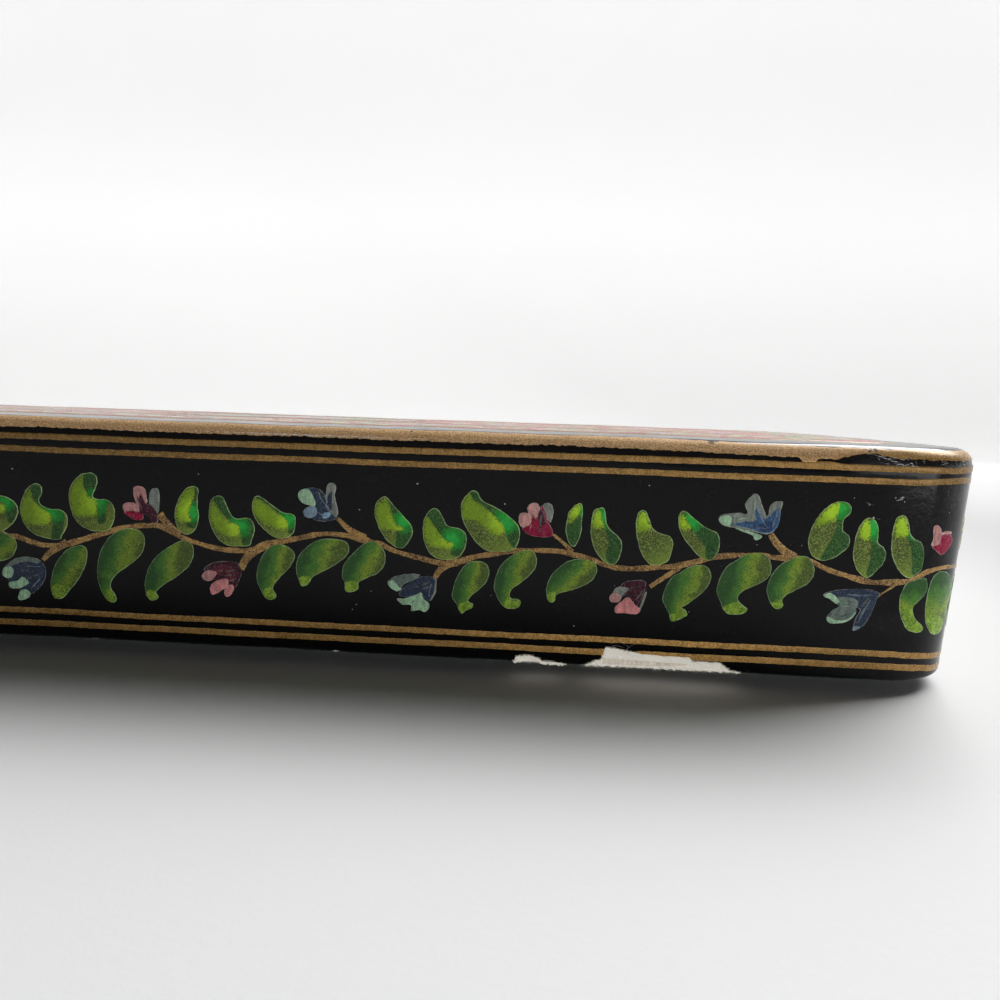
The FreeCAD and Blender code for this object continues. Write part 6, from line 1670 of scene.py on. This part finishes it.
        leaves = [(28.2, 5.6, 0.9, 5), (32.6, 9.2, 0.3, 14), (33.6, 3.2, -1.9, 4), (40.6, 9.0, 0.1, 5), (40.0, 3.2, -2.7, 7), (46.6, 5.2, 1.2, 3), (49.6, 10.2, 0.5, 14), (51.6, 4.8, -2.4, 4),
                  (55.6, 10.0, 0.0, 5), (43.6, -2.6, -2.2, 5), (50.2, -2.4, 0.4, 7), (55.2, -3.2, 0.2, 3), (56.6, -9.8, -2.6, 4), (61.6, -3.2, 0.8, 5), (62.8, -9.6, -2.2, 14), (64.0, 0.6, 1.4, 4),
                  (66.6, -5.8, -0.6, 7), (69.6, 0.2, -0.8, 3), (46.6, -11.6, -2.8, 5), (44.6, -6.6, 0.3, 14), (40.4, -11.0, -2.6, 4), (34.2, -8.6, -1.0, 3), (28.0, -3.6, 2.6, 7), (33.0, -1.2, 0.2, 5)]
        for x, y, a, kk in leaves:
            mv = pose("U", kk, sx * x, y, a if sx > 0 else -a, 0.56, sx)
            m2.put("U", kk, mv, mrng, thick=0.8)
    v.finish("top_border_vine")
    m1.finish("top_medallion")
    m2.finish("top_spray")
    g.make("top_gold_lines", M["gold"])


build_top()


# ---- dust and scratches of age ------------------------------------------------
def build_dust():
    h = Heap()
    rng = np.random.default_rng(21)
    spots = [(-26.11, 22.85, .09), (-1.2, 23.09, .08), (19.79, 19.35, .06), (19.34, 6.74, .06), (18.84, 6.03, .05), (27.24, 23.0, .10), (38.4, 20.87, .08), (47.77, 5.33, .07), (56.24, 23.93, .07), (69.96, 17.04, .05),
             (65.82, 14.07, .05), (62.24, 7.92, .05), (81.14, 23.38, .06), (82.82, 22.75, .07), (86.4, 23.3, .09), (86.8, 23.55, .07), (87.1, 23.15, .08), (86.0, 23.6, .05), (83.68, 21.04, .09), (79.58, 17.35, .05),
             (75.43, 17.17, .05), (74.41, 15.2, .05), (83.0, 22.6, .05)]
    for _ in range(70):
        spots.append((rng.uniform(-87, PER - 87), rng.uniform(5.5, 24.0), rng.uniform(0.03, 0.055)))
    for s0, t0, r in spots:
        a = np.linspace(0, 2 * math.pi, 8)[:-1] + rng.uniform(0, 6)
        rr = r * rng.uniform(0.6, 1.25, 7)
        st = rng.uniform(1.0, 1.6)
        P = np.stack([s0 + rr * np.cos(a) * st, t0 + rr * np.sin(a)], 1)
        P = np.concatenate([[[s0, t0]], P])
        off = np.array([0.035] + [0.006] * 7)
        F = [[0, i + 1, (i + 1) % 7 + 1] for i in range(7)]
        h.add(wall(P[:, 0], P[:, 1], off), F)
    # hair-thin scratches, the bright ones on the worn corner
    marks = [(82.5, 22.95, 0.9, -0.32, .05), (84.0, 21.0, 0.5, -0.15, .03), (83.2, 28.72, 1.1, -0.16, .09), (83.9, 28.50, 1.2, -0.22, .10), (84.7, 28.22, 1.3, -0.34, .09),
             (85.6, 27.80, 1.0, -0.18, .12), (86.2, 27.56, 0.8, 0.04, .10), (87.2, 27.90, 0.5, -0.10, .10), (87.3, 27.52, 0.6, 0.06, .08), (86.1, 23.30, 0.7, 0.10, .12), (86.5, 23.62, 0.6, 0.12, .09)]
    for _ in range(22):
        marks.append((rng.uniform(82.6, 88.0), rng.uniform(27.6, 28.8), rng.uniform(0.2, 0.8), rng.uniform(-0.25, 0.10), rng.uniform(0.03, 0.07)))
    for _ in range(16):
        marks.append((rng.uniform(88.0, 96.0), rng.uniform(27.7, 28.4), rng.uniform(0.2, 0.7), rng.uniform(-0.10, 0.10), rng.uniform(0.02, 0.04)))
    for s0, t0, ds, dt, w in marks:
        q = np.linspace(0, 1, 7)
        x = s0 + ds * q
        y = t0 + dt * q + 0.04 * np.sin(6 * q + s0)
        ww = w * np.sin(np.clip(q, 0.06, 0.94) * math.pi)
        V = np.concatenate([wall(x, y - ww / 2, 0.004), wall(x, y, 0.030), wall(x, y + ww / 2, 0.004)])
        F = grid_faces(3, 7)
        h.add(V, np.concatenate([F[:, [0, 1, 2]], F[:, [0, 2, 3]]]))
    h.make("dust_and_scratches", M["speck"])


build_dust()


# ---- felt under the tray ------------------------------------------------------
def build_felt():
    hx, hy, r, thick = 93.0, 32.0, 6.0, 0.96
    P, N, L, total = loop_line(hx, hy, r, 0.8)
    n = len(P)
    rng = np.random.default_rng(2)
    e = 0.06 * around(n, 1, 41, [2.0, 3.3, 5.5])
    rim = P + N * (e - 0.10)[:, None]
    gx, gy = np.arange(-91.8, 91.9, 1.6), np.arange(-30.8, 30.9, 1.4)
    X, Y = np.meshgrid(gx, gy)
    X = X + (np.arange(len(gy)) % 2)[:, None] * 0.8
    Q = np.stack([X.ravel(), Y.ravel()], 1) + rng.uniform(-0.2, 0.2, (X.size, 2))
    Q = Q[sdist(Q, rim) > 0.8]
    res = delaunay_2d_cdt([Vector(p) for p in np.concatenate([rim, Q]).tolist()], [(i, (i + 1) % n) for i in range(n)], [], 1, 1e-7)
    vo = np.array([tuple(p) for p in res[0]], float)
    fo = np.array([f for f in res[2] if len(f) == 3], np.int64)
    m = len(vo)
    x, y = vo[:, 0], vo[:, 1]
    nz = 0.03 * np.sin(1.9 * x + 0.7 * y) + 0.025 * np.sin(2.6 * y - 1.1 * x + 1) + rng.uniform(-0.015, 0.015, m)
    d = np.maximum(sdist(vo, rim), 0)
    soft = 0.16 * np.exp(-d / 0.5)
    V = np.concatenate([np.stack([x, y, np.full(m, thick) - soft * 0.3], 1), np.stack([x, y, 0.06 + nz * 0.8 + soft], 1)])
    j = np.array([int(np.argmin(((vo - p) ** 2).sum(1))) for p in rim])
    j2 = np.roll(j, -1)
    mid = np.stack([P[:, 0] + N[:, 0] * e, P[:, 1] + N[:, 1] * e, np.full(n, 0.52)], 1)
    V = np.concatenate([V, mid])
    k = 2 * m + np.arange(n)
    k2 = np.roll(k, -1)
    side = np.concatenate([np.stack([j, k, k2, j2], 1), np.stack([k, j + m, j2 + m, k2], 1)])
    ob = make("felt_sheet_under_tray", V, [np.concatenate([fo, fo[:, ::-1] + m]), side], M["felt"], slot="felt", body="tray")
    import bmesh
    bm = bmesh.new()
    bm.from_mesh(ob.data)
    bmesh.ops.recalc_face_normals(bm, faces=bm.faces)
    bm.to_mesh(ob.data)
    bm.free()
    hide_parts("tray_foot_felt")


build_felt()

# ---- carried-over parts of the box --------------------------------------------
for node, key in (("lid_top_board", "board"), ("lid_wall", "paper"), ("lid_ceiling_lining", "lining"), ("lid_wall_lining", "lining"),
                  ("tray_floor_board", "board"), ("tray_wall", "paper"), ("tray_coat", "tray"), ("tray_floor_lining", "lining"), ("tray_wall_lining", "lining")):
    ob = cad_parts[node]
    if not ob.material_slots:
        ob.data.materials.append(M[key])
    for sl in ob.material_slots:
        sl.material = M[key]

# ---- camera -------------------------------------------------------------------
C = Vector((0.0432251, -0.132332, 0.0347))
right, down, fwd = Vector((0.9975, 0.06226, 0.03356)), Vector((0.04072, -0.11765, -0.99222)), Vector((-0.05783, 0.9911, -0.11989))
fwd.normalize()
right = (right - fwd * right.dot(fwd)).normalized()
up = right.cross(fwd).normalized()
cam = bpy.data.objects.new("camera", bpy.data.cameras.new("camera"))
bpy.context.scene.collection.objects.link(cam)
cam.matrix_world = Matrix(((right.x, up.x, -fwd.x, C.x), (right.y, up.y, -fwd.y, C.y), (right.z, up.z, -fwd.z, C.z), (0, 0, 0, 1)))
cam.data.sensor_width = 36.0
cam.data.lens = 751.0 / 1000.0 * 36.0
cam.data.clip_start = 0.002
cam.data.clip_end = 30.0
bpy.context.scene.camera = cam

# ---- floor and backdrop -------------------------------------------------------
def stage_mat(name, tone, glow):
    n = Nodes(name)
    a = n.noise(9, 3, 0.5)
    fine = n.noise(900, 3, 0.6)
    c = n.mix(n.step(a, 0.3, 0.7), (*(np.array(tone) * 0.985), 1), (*tone, 1))
    c = n.mix(n.math("MULTIPLY", n.step(fine, 0.5, 0.7), 0.03), c, (0.70, 0.71, 0.73, 1))
    # the upright part of the sweep is lit from behind, the floor isn't
    sep = n.t.nodes.new("ShaderNodeSeparateXYZ")
    n.link(n.co, sep.inputs[0])
    n.bsdf.inputs["Emission Color"].default_value = (1.0, 1.0, 0.99, 1)
    n.link(n.math("MULTIPLY", n.step(sep.outputs["Y"], 0.12, 0.62, 0.0, glow), n.step(sep.outputs["Z"], 0.12, 0.60, 1.0, 0.70)), n.bsdf.inputs["Emission Strength"])
    # painted shade: the floor is painted darker to the right and much darker near the low lamp, against that lamp's
    # light; the backdrop is even
    flat = n.step(sep.outputs["Y"], 0.60, 0.30)
    c = n.mix(n.math("MULTIPLY", n.step(sep.outputs["X"], 0.055, 0.17), flat), c, (*(np.array(tone) * 0.80), 1))
    shade_near_lamp = n.math("MULTIPLY", n.step(sep.outputs["X"], 0.085, 0.205), flat)
    c = n.mix(shade_near_lamp, c, (*(np.array(tone) * 0.47), 1))
    return n.finish(c, 0.9, n.bump(fine, 0.0001, 0.2), spec=0.15)


def sweep():
    prof = [(-1.6, 0.0), (-0.9, 0.0), (-0.4, 0.0), (-0.1, 0.0), (0.1, 0.0), (0.4, 0.0), (0.8, 0.0)]
    prof += [(0.8 + 0.35 * math.sin(a), 0.35 - 0.35 * math.cos(a)) for a in np.linspace(0, math.pi / 2, 14)[1:]]
    prof += [(1.15, 0.7), (1.15, 1.1), (1.15, 1.6)]
    xs = np.linspace(-2.4, 2.4, 25)
    V = np.array([[x, y, z] for (y, z) in prof for x in xs]) * 1000.0
    ob = make("studio_sweep", V, [grid_faces(len(prof), len(xs))], stage_mat("pale_paper_sweep", (0.82, 0.82, 0.82), GLOW), body=None)


sweep()

# ---- light --------------------------------------------------------------------
world = bpy.data.worlds.new("soft_studio")
bpy.context.scene.world = world
world.use_nodes = True
wt = world.node_tree
wt.nodes.clear()
wo = wt.nodes.new("ShaderNodeOutputWorld")
bg = wt.nodes.new("ShaderNodeBackground")
wc = wt.nodes.new("ShaderNodeTexCoord")
sep = wt.nodes.new("ShaderNodeSeparateXYZ")
wt.links.new(wc.outputs["Generated"], sep.inputs[0])


def wmath(op, a, b):
    n = wt.nodes.new("ShaderNodeMath")
    n.operation = op
    for k, v in enumerate((a, b)):
        if isinstance(v, bpy.types.NodeSocket):
            wt.links.new(v, n.inputs[k])
        else:
            n.inputs[k].default_value = v
    return n.outputs[0]


def wstep(v, lo, hi, a, b):
    n = wt.nodes.new("ShaderNodeMapRange")
    n.interpolation_type = "SMOOTHSTEP"
    wt.links.new(v, n.inputs["Value"])
    for k, x in zip(("From Min", "From Max", "To Min", "To Max"), (lo, hi, a, b)):
        n.inputs[k].default_value = x
    return n.outputs[0]


# bright low in front and all round behind, dark above the front
back = wstep(sep.outputs["Y"], 0.05, 0.60, 0.0, 1.0)
low = wstep(sep.outputs["Z"], 0.0, 0.17, WORLD_LOW, WORLD_HIGH)
side = wstep(sep.outputs["X"], -0.9, 0.9, 0.70, 1.25)
front = wmath("MULTIPLY", wmath("SUBTRACT", 1.0, back), wmath("MULTIPLY", low, side))
strength = wmath("ADD", wmath("MULTIPLY", back, WORLD_BACK), front)
bg.inputs["Color"].default_value = (0.985, 0.99, 1.0, 1)
wt.links.new(strength, bg.inputs["Strength"])
wt.links.new(bg.outputs[0], wo.inputs[0])


def area(name, loc, aim, size, power, colour=(1, 1, 1)):
    d = bpy.data.lights.new(name, "AREA")
    d.shape = "RECTANGLE"
    d.size, d.size_y = size
    d.energy = power
    d.color = colour
    ob = bpy.data.objects.new(name, d)
    bpy.context.scene.collection.objects.link(ob)
    ob.location = loc
    ob.rotation_euler = (Vector(aim) - Vector(loc)).to_track_quat("-Z", "Y").to_euler()
    return ob


area("window_behind", (0.371, 0.237, 0.401), (0.03, -0.05, 0.0), (0.42, 0.24), KEY)
area("fill_right", (0.21, -0.17, 0.016), (0.07, -0.039, 0.016), (0.14, 0.030), FILL)
bpy.context.scene.view_settings.view_transform = "Standard"
bpy.context.scene.view_settings.look = "None"
bpy.context.scene.view_settings.exposure = 0.0
bpy.context.scene.view_settings.gamma = 1.0
